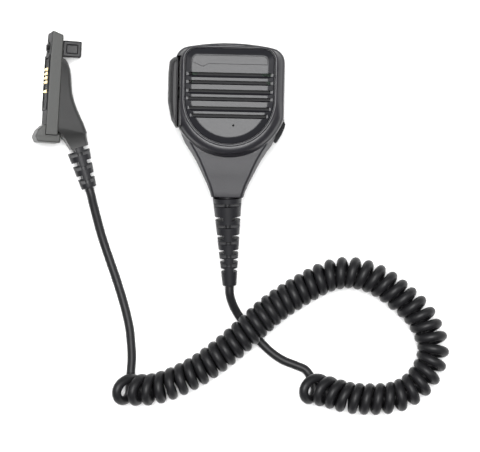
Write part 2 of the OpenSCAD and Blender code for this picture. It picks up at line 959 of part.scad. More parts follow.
module mic_relief() {
    color([0.16, 0.16, 0.17])
        difference() {
            union() {
                difference() {
                    along_relief()
                        ribbed_relief(mic_relief_len, relief_r, mic_face_slots, mic_side_slots, 3);
                    translate([-big / 2, -neck_end, 0])
                        cube([big, big, big]);
                }
                along_relief() {
                    translate([0, 0, -end_wall - 1.5])
                        cylinder(r = inner_neck_r, h = end_wall + 2.5);
                    translate([0, 0, -end_wall - 3.2])
                        cylinder(r = inner_flange_r, h = 2);
                }
            }
            along_relief()
                translate([0, 0, -10])
                    cylinder(r = cord_bore_r, h = mic_relief_len + 20);
        }
}

module cord_tail() {
    color([0.1, 0.1, 0.1])
        along_relief()
            translate([0, 0, -8.6])
                cylinder(r = cord_r, h = mic_relief_len - 4 + 8.6);
}

module cord_clamp() {
    color("silver")
        along_relief()
            translate([0, 0, -8.4])
                ring(cord_r + 0.9, cord_r, 2);
}

// Four wires that part round the lower post and run up to the board
module inner_wires() {
    color("firebrick")
        for (side = [-1, 1], k = [0, 1])
            swept_tube([
                [side * (0.5 + 1.1 * k) - 0.4, -44.75, 20.5], [side * (2.2 + k), -44.1 + 0.2 * k, 20.2],
                [side * (3.5 + 1.3 * k), -42, 19.8], [side * (3.6 + 1.3 * k), -38, 19.5],
                [side * (3.6 + 1.3 * k), -25, 19.4]
            ], 0.45, 8);
}

module cord_lead_mic() {
    color([0.2, 0.2, 0.2])
        swept_tube(lead_mic_route, cord_r, 8);
}

module cord_coil() {
    color([0.1, 0.1, 0.1])
        swept_tube(coil_route, coil_d / 2, 12);
}

module cord_lead_plug() {
    color([0.2, 0.2, 0.2])
        swept_tube(lead_plug_route, cord_r, 8);
}

// ---- Accessory plug ----------------------------------------------------------------------------------

// Block between two corners
module block(low, high) {
    translate(low)
        cube(high - low);
}

module plug_frame() {
    seal_y = [block_y[0] - 3, block_y[1] + 3];
    color([0.36, 0.37, 0.36])
        in_plug()
            difference() {
                union() {
                    translate([0, 0, -plug_half])
                        linear_extrude(2 * plug_half)
                            polygon([
                                [0, 4], [plug_t, 4], [plug_t, plug_len - 2.1], [0.8, plug_len],
                                [0.6, plug_screw_y - 6], [0, plug_screw_y - 8]
                            ]);
                    translate([0, 0, -plug_foot_half])
                        linear_extrude(2 * plug_foot_half)
                            polygon([
                                [-5.4, 3], [-3.8, 0], [8.8, 0], [8.8, 4.2], [plug_t, 5.5], [0, 10],
                                [-1.2, 9.6], [-3.8, 6.8]
                            ]);
                }
                block([-1, block_y[0], -block_half], [5.8, block_y[1], block_half]);
                difference() {
                    block([-1, seal_y[0], -block_half - 3], [0.9, seal_y[1], block_half + 3]);
                    block([-2, seal_y[0] + seal_w + 0.2, seal_w + 0.2 - block_half - 3],
                          [2, seal_y[1] - seal_w - 0.2, block_half + 3 - seal_w - 0.2]);
                }
                translate([5, block_y[0] + 4, 0])
                    rotate([0, 90, 0])
                        cylinder(r = 3, h = 5);
                translate([-5, plug_screw_y, 0])
                    rotate([0, 90, 0])
                        cylinder(r = plug_screw_r + 0.1, h = 20);
                translate([-5, plug_screw_y, 0])
                    rotate([0, 90, 0])
                        cylinder(r = 3.6, h = 8.6);
            }
}

// Slice of the hood at height y: v_top is its depth, the two half-widths are at the frame and at the back
module hood_rib(y, v_top, half_frame, half_back) {
    round_r = min(2.5, (v_top - plug_t) / 2);
    translate([0, y, 0])
        rotate([-90, 0, 0])
            linear_extrude(0.2) {
                translate([plug_t + 0.05, -half_frame])
                    square([0.2, 2 * half_frame]);
                for (side = [-1, 1])
                    translate([v_top - round_r, side * (half_back - round_r)])
                        circle(r = round_r, $fn = 24);
            }
}

module plug_hood() {
    color([0.3, 0.3, 0.3])
        in_plug()
            difference() {
                union() {
                    hull() {
                        hood_rib(48.1, plug_t + 0.4, 6.5, 5.5);
                        hood_rib(45.2, 10.8, 9, 6.5);
                        hood_rib(42, 12.4, 9.6, 7);
                        hood_rib(38, 13.2, 9.8, 7.4);
                        hood_rib(26, 14.9, 9.8, 7.6);
                    }
                    hull() {
                        hood_rib(26.1, 14.9, 9.8, 7.6);
                        hood_rib(14, 20.7, 9.8, 7.6);
                        hood_rib(9, 23, 9.2, 7.2);
                        hood_rib(5.6, 24.2, 8.4, 6.8);
                        on_relief_axis()
                            translate([0, 0, -1])
                                cylinder(r = plug_relief_r[0], h = 1, $fn = 32);
                    }
                }
                on_relief_axis()
                    translate([0, 0, -14])
                        cylinder(r = cord_bore_r, h = 20);
                translate([plug_t - 1, block_y[0] + 4, 0])
                    rotate([0, 90, 0])
                        cylinder(r = 3, h = 4);
                block([-5, -12, -20], [8.95, 5.7, 20]);
            }
}

module plug_contact_block() {
    color([0.07, 0.07, 0.07])
        in_plug()
            difference() {
                block([0.2, block_y[0] + 0.1, 0.1 - block_half], [3.6, block_y[1] - 0.1, block_half - 0.1]);
                for (y = contact_y, z = contact_z)
                    block([-1, y - 0.85, z - 1.25], [5, y + 0.85, z + 1.25]);
            }
}

module plug_contacts() {
    color("gold")
        in_plug()
            for (y = contact_y, z = contact_z) {
                block([-0.2, y - 0.8, z - 1.1], [3.8, y + 0.8, z + 1.1]);
                translate([-0.2, y, z - 1.1])
                    cylinder(r = 0.8, h = 2.2, $fn = 24);
            }
}

module plug_seal() {
    seal_y = [block_y[0] - 3, block_y[1] + 3];
    half = block_half + 3;
    color([0.05, 0.05, 0.05])
        in_plug()
            difference() {
                block([-0.4, seal_y[0] + 0.1, 0.1 - half], [0.9, seal_y[1] - 0.1, half - 0.1]);
                block([-2, seal_y[0] + seal_w, seal_w - half], [2, seal_y[1] - seal_w, half - seal_w]);
            }
}

module plug_board() {
    color([0.1, 0.35, 0.2])
        in_plug()
            block([3.9, block_y[0] + 0.4, 0.4 - block_half], [5.3, block_y[1] - 0.4, block_half - 0.4]);
}

module plug_screw() {
    color([0.25, 0.25, 0.26])
        in_plug()
            translate([0, plug_screw_y, 0])
                difference() {
                    union() {
                        rod_x([-screw_tip, 0, 0], plug_screw_r, screw_thread);
                        rod_x([0, 0, 0], plug_shank_r, plug_t + 0.6);
                        translate([plug_t + 0.4, -paddle.y / 2, -paddle.z / 2])
                            cube(paddle);
                    }
                    for (side = [-1, 1])
                        translate([plug_t + 4.4, 0, side * (paddle.z / 2 + 1.4)])
                            rotate([0, 90, 0])
                                cylinder(r = 2.6, h = 3.4);
                }
}

module plug_screw_clip() {
    color("silver")
        in_plug()
            translate([2.4, plug_screw_y, 0])
                rotate([0, 90, 0])
                    ring(3.2, plug_shank_r, 0.7);
}

module plug_relief() {
    color([0.17, 0.17, 0.18])
        along_plug_relief()
            difference() {
                ribbed_relief(plug_relief_len, plug_relief_r, plug_face_slots, plug_side_slots);
                translate([0, 0, -1])
                    cylinder(r = cord_bore_r, h = plug_relief_len + 2);
            }
}

module plug_tail() {
    color([0.1, 0.1, 0.1])
        along_plug_relief()
            translate([0, 0, -13])
                cylinder(r = cord_r, h = plug_relief_len - 4 + 13);
}

// ---- Drawing -----------------------------------------------------------------------------------------

front_cover();
back_cover();
grille_panel();
name_strip();
speaker_cloth();
speaker_frame();
speaker_cone();
speaker_magnet();
speaker_gasket();
mic_capsule();
mic_boot();
main_board();
board_parts();
ptt_button();
ptt_plunger();
ptt_seal();
ptt_switch();
ptt_frame();
jack_socket();
jack_cover();
body_seal();
case_screws();
clip_base();
clip_hub();
clip_retainer();
hub_screw();
clip_pin();
clip_arm();
clip_spring();
mic_relief();
cord_tail();
cord_clamp();
inner_wires();
cord_lead_mic();
cord_coil();
cord_lead_plug();
plug_frame();
plug_hood();
plug_contact_block();
plug_contacts();
plug_seal();
plug_board();
plug_screw();
plug_screw_clip();
plug_relief();
plug_tail();
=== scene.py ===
"""Hand microphone on its back: louvred head, push-to-talk key, curly cord and accessory plug.

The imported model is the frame. Lengths below are in millimetres until a point is placed.
"""

import math

import bmesh
import bpy
from mathutils import Matrix, Vector


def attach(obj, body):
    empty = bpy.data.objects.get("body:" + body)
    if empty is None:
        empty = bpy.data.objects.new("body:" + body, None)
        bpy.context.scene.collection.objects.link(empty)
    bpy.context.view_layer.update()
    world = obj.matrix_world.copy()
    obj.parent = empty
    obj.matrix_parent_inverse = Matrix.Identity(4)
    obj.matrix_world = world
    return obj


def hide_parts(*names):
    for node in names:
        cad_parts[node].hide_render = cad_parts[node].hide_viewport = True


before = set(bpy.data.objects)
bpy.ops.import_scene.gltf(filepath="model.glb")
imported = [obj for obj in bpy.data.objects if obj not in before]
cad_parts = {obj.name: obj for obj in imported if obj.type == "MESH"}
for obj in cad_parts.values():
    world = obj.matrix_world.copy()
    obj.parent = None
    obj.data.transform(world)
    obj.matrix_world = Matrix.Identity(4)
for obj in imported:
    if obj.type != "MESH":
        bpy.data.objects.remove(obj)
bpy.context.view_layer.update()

MM = 0.001

# ---- Camera, light and table ----


LENS = 158.6
CAMERA_PLACE = (0.00747, -0.0697, 1.2)
CAMERA_TURN = 1.3
LIGHT_AIM = (0, -0.05, 0)


def set_camera():
    """Straight above the microphone, a long lens."""
    lens = bpy.data.cameras.new("overhead_camera")
    lens.lens = LENS
    lens.sensor_width = 36
    lens.clip_start = 0.05
    lens.clip_end = 20
    camera = bpy.data.objects.new("overhead_camera", lens)
    camera.location = CAMERA_PLACE
    camera.rotation_euler = (0, 0, math.radians(CAMERA_TURN))
    bpy.context.scene.collection.objects.link(camera)
    bpy.context.scene.camera = camera


def add_softbox(name, place, aim, size, power):
    """A square studio light that points at aim."""
    light = bpy.data.lights.new(name, "AREA")
    light.shape = "SQUARE"
    light.size = size
    light.energy = power
    softbox = bpy.data.objects.new(name, light)
    softbox.location = place
    softbox.rotation_euler = (Vector(aim) - Vector(place)).to_track_quat("-Z", "Y").to_euler()
    bpy.context.scene.collection.objects.link(softbox)


def set_studio():
    """A white room with one large softbox overhead and two weaker ones beside it."""
    scene = bpy.context.scene
    scene.view_settings.view_transform = "Standard"
    room = bpy.data.worlds.new("pale_room")
    room.use_nodes = True
    backdrop = room.node_tree.nodes["Background"]
    backdrop.inputs["Color"].default_value = (1, 1, 1, 1)
    backdrop.inputs["Strength"].default_value = 0.13
    scene.world = room
    add_softbox("key_softbox", (0.0, 0.12, 1.7), LIGHT_AIM, size=1.0, power=54)
    add_softbox("left_softbox", (-1.3, 0.2, 1.1), LIGHT_AIM, size=0.6, power=4)
    add_softbox("right_softbox", (1.3, 0.3, 1.1), LIGHT_AIM, size=0.6, power=5)


set_camera()
set_studio()

# ---- Ways of making a shape ----


def put_down():
    """Leave edit mode and select nothing."""
    if bpy.context.mode != "OBJECT":
        bpy.ops.object.mode_set(mode="OBJECT")
    bpy.ops.object.select_all(action="DESELECT")


def take(piece):
    """Select one piece and make it the active one."""
    put_down()
    piece.select_set(True)
    bpy.context.view_layer.objects.active = piece


def loft(name, rings):
    """A closed skin over rings of points: a disc extruded ring by ring, each ring put in its place."""
    put_down()
    bpy.ops.mesh.primitive_circle_add(vertices=len(rings[0]), radius=MM, fill_type="NGON")
    piece = bpy.context.object
    piece.name = piece.data.name = name
    bpy.ops.object.mode_set(mode="EDIT")
    bpy.ops.mesh.select_all(action="SELECT")
    mesh = bmesh.from_edit_mesh(piece.data)
    mesh.verts.ensure_lookup_table()
    order = {tuple(vert.co): number for number, vert in enumerate(mesh.verts)}
    for step, ring in enumerate(rings):
        if step:
            bpy.ops.mesh.extrude_region_move()
            mesh = bmesh.from_edit_mesh(piece.data)
        placed = {}
        for vert in mesh.verts:
            if vert.select:
                number = order[tuple(vert.co)]
                vert.co = Vector(ring[number]) * MM
                placed[tuple(vert.co)] = number
        order = placed
        bmesh.update_edit_mesh(piece.data)
    bpy.ops.mesh.select_all(action="SELECT")
    bpy.ops.mesh.normals_make_consistent(inside=False)
    if bmesh.from_edit_mesh(piece.data).calc_volume(signed=True) < 0:
        bpy.ops.mesh.flip_normals()
    put_down()
    return piece


def block(name, low, high, soft=0.0):
    """A box between two corners, with its edges softened."""
    put_down()
    middle = (Vector(low) + Vector(high)) / 2 * MM
    bpy.ops.mesh.primitive_cube_add(size=1, location=middle)
    piece = bpy.context.object
    piece.name = piece.data.name = name
    piece.scale = (Vector(high) - Vector(low)) * MM
    bpy.ops.object.transform_apply(location=True, rotation=True, scale=True)
    if soft:
        bpy.ops.object.mode_set(mode="EDIT")
        bpy.ops.mesh.select_all(action="SELECT")
        bpy.ops.mesh.bevel(offset=soft * MM, segments=3, affect="EDGES")
        put_down()
    return piece


def rod(name, start, end, radius, sides=48):
    """A round bar from one point to another."""
    put_down()
    run = (Vector(end) - Vector(start)) * MM
    bpy.ops.mesh.primitive_cylinder_add(
        vertices=sides,
        radius=radius * MM,
        depth=run.length,
        location=Vector(start) * MM + run / 2,
        rotation=run.to_track_quat("Z", "Y").to_euler(),
    )
    piece = bpy.context.object
    piece.name = piece.data.name = name
    bpy.ops.object.transform_apply(location=True, rotation=True, scale=True)
    return piece


def combine(piece, other, how):
    """UNION, DIFFERENCE or INTERSECT with another piece, which is used up."""
    take(piece)
    step = piece.modifiers.new("shape", "BOOLEAN")
    step.operation = how
    step.object = other
    step.solver = "EXACT"
    bpy.ops.object.modifier_apply(modifier=step.name)
    bpy.data.objects.remove(other)
    return piece


def cut(piece, *tools):
    """Take each tool's shape away from a piece."""
    for tool in tools:
        combine(piece, tool, "DIFFERENCE")
    return piece


def add(piece, *others):
    """Join other shapes to a piece."""
    for other in others:
        combine(piece, other, "UNION")
    return piece


def put_in(piece, place):
    """Set a piece made at the origin into its place, and leave the place in its mesh."""
    take(piece)
    piece.matrix_world = place @ piece.matrix_world
    bpy.ops.object.transform_apply(location=True, rotation=True, scale=True)
    return piece


def soften(piece, width, segments=2, angle=32):
    """Round every edge sharper than angle."""
    take(piece)
    step = piece.modifiers.new("edges", "BEVEL")
    step.width = width * MM
    step.segments = segments
    step.limit_method = "ANGLE"
    step.angle_limit = math.radians(angle)
    step.use_clamp_overlap = True
    bpy.ops.object.modifier_apply(modifier=step.name)
    return piece


def smooth(piece, angle=38):
    """Smooth shading up to angle, weighted so that flat faces stay flat."""
    take(piece)
    bpy.ops.object.shade_smooth_by_angle(angle=math.radians(angle))
    even = piece.modifiers.new("even_shading", "WEIGHTED_NORMAL")
    even.keep_sharp = True
    bpy.ops.object.modifier_apply(modifier=even.name)
    return piece


# ---- Outlines ----

FARTHEST = 80.0
HALVINGS = 36


def rounded(corners, radii, steps=5):
    """An outline whose corners are arcs."""
    ring = []
    for k, corner in enumerate(corners):
        here = Vector(corner)
        back = (Vector(corners[k - 1]) - here).normalized()
        onward = (Vector(corners[(k + 1) % len(corners)]) - here).normalized()
        half = back.angle(onward) / 2
        middle = here + (back + onward).normalized() * radii[k] / math.sin(half)
        start = here + back * radii[k] / math.tan(half) - middle
        end = here + onward * radii[k] / math.tan(half) - middle
        sweep = math.atan2(start.x * end.y - start.y * end.x, start.dot(end))
        for step in range(steps + 1):
            turn = Matrix.Rotation(sweep * step / steps, 2)
            ring.append(middle + turn @ start)
    return ring


def drawn_in(corners, inset):
    """A counter-clockwise outline with each side moved inwards, all alike or one number a side."""
    count = len(corners)
    insets = inset if isinstance(inset, (list, tuple)) else [inset] * count
    sides = []
    for k in range(count):
        start = Vector(corners[k])
        run = (Vector(corners[(k + 1) % count]) - start).normalized()
        sides.append((start + Vector((-run.y, run.x)) * insets[k], run))
    ring = []
    for k in range(count):
        (p, d), (q, e) = sides[k - 1], sides[k]
        ring.append(p + d * ((q - p).cross(e) / d.cross(e)))
    return ring


def edge_of(inside, points=240):
    """Where rays from the middle leave a shape, found by halving."""
    ring = []
    for k in range(points):
        angle = 2 * math.pi * k / points
        ray = Vector((math.cos(angle), math.sin(angle)))
        near, far = 0.0, FARTHEST
        for _ in range(HALVINGS):
            half = (near + far) / 2
            if inside(ray.x * half, ray.y * half):
                near = half
            else:
                far = half
        ring.append(ray * near)
    return ring


def flat(ring, z):
    """An outline laid level at a height."""
    return [(p[0], p[1], z) for p in ring]


def upright_x(ring, x):
    """A (y, z) outline set across the microphone's width."""
    return [(x, p[0], p[1]) for p in ring]


def upright_y(ring, y):
    """An (x, z) outline set across the microphone's length."""
    return [(p[0], y, p[1]) for p in ring]


# ---- Head outlines ----

HEAD_HALF = 30.5
CHIN_R = 32.2
HEAD_TOP = 31.6
CORNER_R = 8.5
CROWN_R = 120.0
CORNER_X = HEAD_HALF - CORNER_R
CORNER_Y = HEAD_TOP - CROWN_R + math.sqrt((CROWN_R - CORNER_R) ** 2 - CORNER_X**2)
PARTING_Z = 25.0  # height of the plane where the two halves meet
BACK_Z = 11.0
PANEL_CORNER_X = 18.0
PANEL_RISE = 3.2
WALL = 2.2
POST_R = 2.7
RELIEF_BORE_R = 5.05
known_rings = {}


def head_ring(inset):
    """Outline of the head, drawn in: round chin, straight sides, arched top with round corners."""

    def inside(x, y):
        if abs(x) > HEAD_HALF - inset:
            return False
        if y < 0:
            return math.hypot(x, y) < CHIN_R - inset
        under_crown = math.hypot(x, y - HEAD_TOP + CROWN_R) < CROWN_R - inset
        if abs(x) < CORNER_X or y < CORNER_Y:
            return under_crown
        in_corner = math.hypot(abs(x) - CORNER_X, y - CORNER_Y) < CORNER_R - inset
        on_crown = abs(x) < CORNER_X * (CROWN_R - inset) / (CROWN_R - CORNER_R)
        return in_corner or (on_crown and under_crown)

    if ("head", inset) not in known_rings:
        known_rings["head", inset] = edge_of(inside)
    return known_rings["head", inset]


def panel_ring(half):
    """Outline of the panel and its ridge: round below, round-cornered above."""
    corner = half - PANEL_CORNER_X
    top = half + PANEL_RISE

    def inside(x, y):
        if y < 0:
            return math.hypot(x, y) < half
        if abs(x) > PANEL_CORNER_X and y > top - corner:
            return math.hypot(abs(x) - PANEL_CORNER_X, y - top + corner) < corner
        return abs(x) < half and y < top

    if ("panel", half) not in known_rings:
        known_rings["panel", half] = edge_of(inside)
    return known_rings["panel", half]


def nearer(ring, other):
    """Ray by ray, whichever outline is nearer to the middle."""
    return [p if p.length < q.length else q for p, q in zip(ring, other)]


def between(ring, other, share):
    """An outline part of the way from one to another."""
    return [Vector(a) + (Vector(b) - Vector(a)) * share for a, b in zip(ring, other)]


# Neck: place along the microphone, half-width, height of its front face, lean of its sides
NECK = (
    (-16.0, 27.4, 32.7, 3.4),
    (-20.0, 26.1, 32.1, 3.2),
    (-24.7, 23.9, 31.4, 2.9),
    (-29.1, 20.8, 30.8, 2.5),
    (-33.5, 18.1, 30.1, 2.2),
    (-37.9, 15.8, 29.5, 1.9),
    (-42.3, 13.7, 28.8, 1.6),
    (-46.7, 11.5, 28.1, 1.4),
    (-51.1, 9.7, 27.5, 1.1),
    (-53.7, 8.95, 27.1, 1.0),
    (-54.0, 8.7, 26.9, 1.0),
)
HOLLOW_NECK = 9  # rings of the neck that its hollow follows
# Case screws: place, and how high each reaches
SCREWS = ((-20, 21.6, 30), (20, 21.6, 30), (0, -27.5, 28), (0, -40, 26.5))
# Well in the side of the case that the key moves in, from corner to corner
WELL = ((-60, -16, 15.2), (-26.3, 23.6, 36.4))
RELIEF_AT = Vector((0, -54, 19))
RELIEF_LENGTH = 50
RELIEF_PLACE = (
    Matrix.Translation(RELIEF_AT * MM)
    @ Matrix.Rotation(math.radians(2.7), 4, "Z")
    @ Matrix.Rotation(math.radians(100), 4, "X")
)


def neck_front(inset=0.0, low=PARTING_Z, stop=len(NECK)):
    """Neck in front of the parting plane, or its hollow when drawn in."""
    rings = []
    for y, half, face, lean in NECK[:stop]:
        half -= inset
        face -= inset
        corners = [(-half, low), (half, low), (half - lean, face), (lean - half, face)]
        rings.append(upright_y(rounded(corners, [0.25, 0.25, 1.7, 1.7]), y))
    return loft("neck_front", rings)


def neck_back(inset=0.0, high=PARTING_Z, stop=len(NECK)):
    """Neck behind the parting plane, or its hollow when drawn in."""
    rings = []
    for y, half, _, _ in NECK[:stop]:
        half -= inset
        low = BACK_Z + inset
        corners = [(0.6 - half, low), (half - 0.6, low), (half, high), (-half, high)]
        rings.append(upright_y(rounded(corners, [2.3, 2.3, 0.25, 0.25]), y))
    return loft("neck_back", rings)


def relief_bore():
    """Round hole at the neck's end for the strain relief's inner neck."""
    tool = rod("relief_bore", (0, 0, -6), (0, 0, 4), RELIEF_BORE_R)
    return put_in(tool, RELIEF_PLACE)


def well_walls(low, high):
    """The material that is left round the key's well."""
    return block("well_walls", (-60, -18.1, low), (-24.2, 25.7, high))


# ---- Case ----

RIM_INSET, RIM_Z = 1.45, 33.1
RIDGE_RISE = 3.9
SEAT_HALF = 22.6
POCKET_HALF = 24.75


def make_front_shell():
    """Front half of the case: side wall, shoulder, ridge round the panel, and the front of the neck."""
    rings = []
    # Side wall: height, and how far it is drawn in
    for z, inset in (
        (25.0, 0.35),
        (25.25, 0.08),
        (25.7, 0.0),
        (28.5, 0.12),
        (30.9, 0.3),
        (31.8, 0.46),
        (32.4, 0.72),
        (32.8, 1.05),
        (RIM_Z, RIM_INSET),
    ):
        rings.append(flat(head_ring(inset), z))
    # Shoulder: a curve from the rim up to the foot of the ridge, rounder towards the chin
    edge, crest = head_ring(RIM_INSET), nearer(panel_ring(26.3), head_ring(1.7))
    for share in (0.86, 0.72, 0.58, 0.45, 0.33, 0.22, 0.12, 0.04, 0.0):
        ring = []
        for outer, inner in zip(edge, crest):
            chin = max(0.0, -inner.y / inner.length)
            power = 1.12 + 1.1 * chin
            height = (1 - share**power) ** (1 / power)
            place = inner + (outer - inner) * share
            ring.append((place.x, place.y, RIM_Z + RIDGE_RISE * height))
        rings.append(ring)
    # Ridge: half-size of its outline, least distance from the head's outline, height
    for half, limit, z in (
        (26.05, 1.78, 37.22),
        (25.8, 1.86, 37.36),
        (25.5, 1.94, 37.4),
        (25.2, 2.0, 37.36),
        (25.0, 2.05, 37.22),
        (24.86, 2.1, 36.95),
        (24.84, 2.12, 36.5),
    ):
        rings.append(flat(nearer(panel_ring(half), head_ring(limit)), z))
    shell = loft("front_shell", rings)
    add(shell, neck_front())

    hollow = [flat(head_ring(WALL), 23.5), flat(head_ring(WALL), 30.4)]
    hollow.append(flat(between(head_ring(WALL), panel_ring(SEAT_HALF), 0.5), 31.6))
    hollow += [flat(panel_ring(SEAT_HALF), z) for z in (32.6, 34.7)]
    hollow += [flat(panel_ring(POCKET_HALF), z) for z in (34.71, 40)]
    cavity = loft("front_cavity", hollow)
    add(cavity, neck_front(inset=WALL, low=23.5, stop=HOLLOW_NECK))
    cut(cavity, well_walls(20, 34.6))
    for x, y, _ in SCREWS:
        cut(cavity, rod("boss", (x, y, 20), (x, y, 34), POST_R))
    cut(shell, cavity, block("key_well", *WELL, soft=0.9), relief_bore())
    for x, y, top in SCREWS:
        cut(shell, rod("screw_hole", (x, y, 20), (x, y, top + 0.5), 1.15))
    soften(shell, 0.12, 2, 50)
    return smooth(shell)


def make_back_shell():
    """Back half of the case, with its screw posts and the bores for the clip's hub and the jack."""
    rings = []
    # Back edge and side wall: height, and how far it is drawn in
    for z, inset in (
        (11.0, 2.3),
        (11.15, 1.45),
        (11.55, 0.8),
        (12.2, 0.32),
        (13.0, 0.06),
        (13.8, 0.0),
        (24.3, 0.0),
        (24.75, 0.08),
        (24.98, 0.35),
    ):
        rings.append(flat(head_ring(inset), z))
    shell = loft("back_shell", rings)
    add(shell, neck_back(high=24.98))

    cavity = loft("back_cavity", [flat(head_ring(WALL), z) for z in (13.2, 27)])
    add(cavity, neck_back(inset=WALL, high=27, stop=HOLLOW_NECK))
    cut(cavity, well_walls(10, 30), rod("hub_boss", (0, 0, 10), (0, 0, 14.2), 7.1))
    for x, y, _ in SCREWS:
        cut(cavity, rod("post", (x, y, 10), (x, y, 30), POST_R))
    cut(shell, cavity, block("key_well", *WELL, soft=0.9))
    cut(shell, relief_bore(), block("relief_slot", (-4.98, -56, 19.6), (4.98, -50.8, 30)))
    cut(shell, rod("hub_bore", (0, 0, 5), (0, 0, 20), 5.05, 64))
    for x, y, _ in SCREWS:
        cut(shell, rod("screw_bore", (x, y, 5), (x, y, 30), 1.25))
        cut(shell, rod("screw_seat", (x, y, 5), (x, y, 13.4), 2.45))
    cut(shell, rod("plunger_hole", (-28, KEY_MIDDLE, PLUNGER_Z), (-23, KEY_MIDDLE, PLUNGER_Z), 2.95))
    cut(shell, rod("jack_hole", JACK_AT * 14 + JACK_RISE, JACK_AT * 40 + JACK_RISE, 3.35))
    cut(shell, flap_recess())
    # Shallow ring that the swivel plate turns over
    cut(shell, ring_groove(14.2, 15.0, 0.5))
    soften(shell, 0.12, 2, 50)
    return smooth(shell)


def ring_groove(inner, outer, depth):
    """A round groove in the back of the case, round the clip's hub."""
    groove = rod("ring_groove", (0, 0, 9), (0, 0, BACK_Z + depth), outer, 96)
    return cut(groove, rod("ring_core", (0, 0, 8), (0, 0, 13), inner, 96))


# ---- Jack and flap ----

JACK_ANGLE = math.radians(-31)
JACK_AT = Vector((math.cos(JACK_ANGLE), math.sin(JACK_ANGLE), 0))
JACK_RISE = Vector((0, 0, 18.2))
FLAP_LOW, FLAP_HIGH = 13.4, 23.0
HINGE = (29.69, -10.22)


def round_chin(degrees, radius):
    """A point round the middle of the head."""
    angle = math.radians(degrees)
    return (radius * math.cos(angle), radius * math.sin(angle))


def flap_ring(grow=0.0, reach=0.0):
    """Plan of the flap: curved inside against the case, straight outside."""
    inner = [round_chin(angle, 30.5 - grow) for angle in (-21.5, -25.5, -29.5, -33.5, -37.5, -41.3)]
    outer = [(26.1, -22.9), (27.0, -22.4), (29.6, -18.1), (31.0, -14.6), (31.4, -12.6), (30.7, -11.0)]
    if reach:
        outer = [round_chin(angle, 30.5 + reach) for angle in (-42.3, -38, -33.5, -29, -24, -19.8)]
        inner[0], inner[-1] = round_chin(-19.8, 30.3), round_chin(-42.3, 30.3)
    return inner + outer


def flap_recess():
    """Room in the case for the flap, and for its knuckle to turn in."""
    recess = loft("flap_recess", [flat(flap_ring(0.2, 4), z) for z in (13.1, 23.3)])
    return add(recess, rod("knuckle_room", (*HINGE, 12.8), (*HINGE, 23.6), 1.95))


def make_flap():
    """Rubber flap over the earphone jack, with a round knuckle at its hinge and a finger tab."""
    flap = loft("jack_flap_skin", [flat(flap_ring(), z) for z in (FLAP_LOW, FLAP_HIGH)])
    add(flap, rod("knuckle", (*HINGE, FLAP_LOW), (*HINGE, FLAP_HIGH), 1.1, 32))
    soften(flap, 0.45, 3, 40)
    return smooth(flap, 50)


# ---- Louvred panel ----

# Louvres: their places up the panel, and those whose lower wall slopes less far
LOUVRES = (13.6, 9.2, 4.3, 0.1, -5.1, -9.2)
SHORT_SLOPE = (9.2, 0.1, -9.2)
SLOT_HALF = 0.8
PANEL_FACE = 37.8
STRIP_FLOOR = 37.15
STRIP = [(-20.6, 20.0), (-15.0, 17.5), (-11.6, 19.1), (20.6, 19.1), (20.6, 23.8), (-20.6, 23.8)]
STRIP_RADII = [0.25, 1.0, 1.0, 0.25, 2.5, 2.5]


def make_louvre_cutter(y):
    """One louvre: a slot right through, and a wider channel whose lower wall slopes."""
    slope = 0.75 if y in SHORT_SLOPE else 1.25
    half = SLOT_HALF
    reach = min(23.3, math.sqrt(24.6**2 - min(0, y - half - slope) ** 2) - 1.5)
    through = [(y - half, 33), (y + half, 33), (y + half, 40), (y - half, 40)]
    slot = loft("louvre_slot", [upright_x(through, x) for x in (-reach, reach)])
    channel = [
        (y - half, 36.35),
        (y + half, 36.35),
        (y + half, 39.5),
        (y - half - slope - 1.2, 39.5),
        (y - half - slope, PANEL_FACE),
    ]
    ends = (-reach - 0.8, reach + 0.8)
    return add(slot, loft("louvre_channel", [upright_x(channel, x) for x in ends]))


def strip_rings(grow, low, high):
    """The inlay's outline, made larger, at two heights."""
    ring = drawn_in(STRIP, -grow)
    return [flat(rounded(ring, STRIP_RADII), z) for z in (low, high)]


def make_louvre_panel():
    """Panel over the speaker, with six louvres, a sound hole and a recess for the inlay."""
    rings = []
    for half, z in (
        (24.45, 34.7),
        (24.6, 34.85),
        (24.6, 35.9),
        (24.45, 36.15),
        (24.1, 36.4),
        (22.4, 37.22),
        (21.6, 37.6),
        (21.3, 37.72),
        (20.9, 37.79),
        (20.4, PANEL_FACE),
    ):
        rings.append(flat(panel_ring(half), z))
    panel = loft("louvre_panel", rings)
    for y in LOUVRES:
        cut(panel, make_louvre_cutter(y))
    cut(panel, rod("sound_hole", (2.5, -14.5, 30), (2.5, -14.5, 40), 0.6, 32))
    cut(panel, loft("strip_recess", strip_rings(0.12, STRIP_FLOOR, 39)))
    soften(panel, 0.1, 2, 35)
    return smooth(panel, 34)


def make_name_strip():
    """Blank inlay at the top of the panel."""
    ring = drawn_in(STRIP, 0.06)
    inner = drawn_in(STRIP, 0.18)
    rings = [flat(rounded(ring, STRIP_RADII), z) for z in (STRIP_FLOOR, 37.72)]
    rings.append(flat(rounded(inner, STRIP_RADII), 37.84))
    return smooth(loft("blank_inlay", rings), 30)


CLOTH_R = 22.4
CLOTH_FOOT, CLOTH_TOP = -10.4, 16


def make_dust_cloth():
    """Woven cloth stretched behind the louvres."""
    ring = []
    for point in edge_of(lambda x, y: math.hypot(x, y) < CLOTH_R and CLOTH_FOOT < y < CLOTH_TOP, 120):
        ring.append((point.x, point.y))
    rings = [flat(ring, 34.25), flat(ring, 34.65)]
    return smooth(loft("dust_cloth", rings), 30)


# ---- Push-to-talk key ----

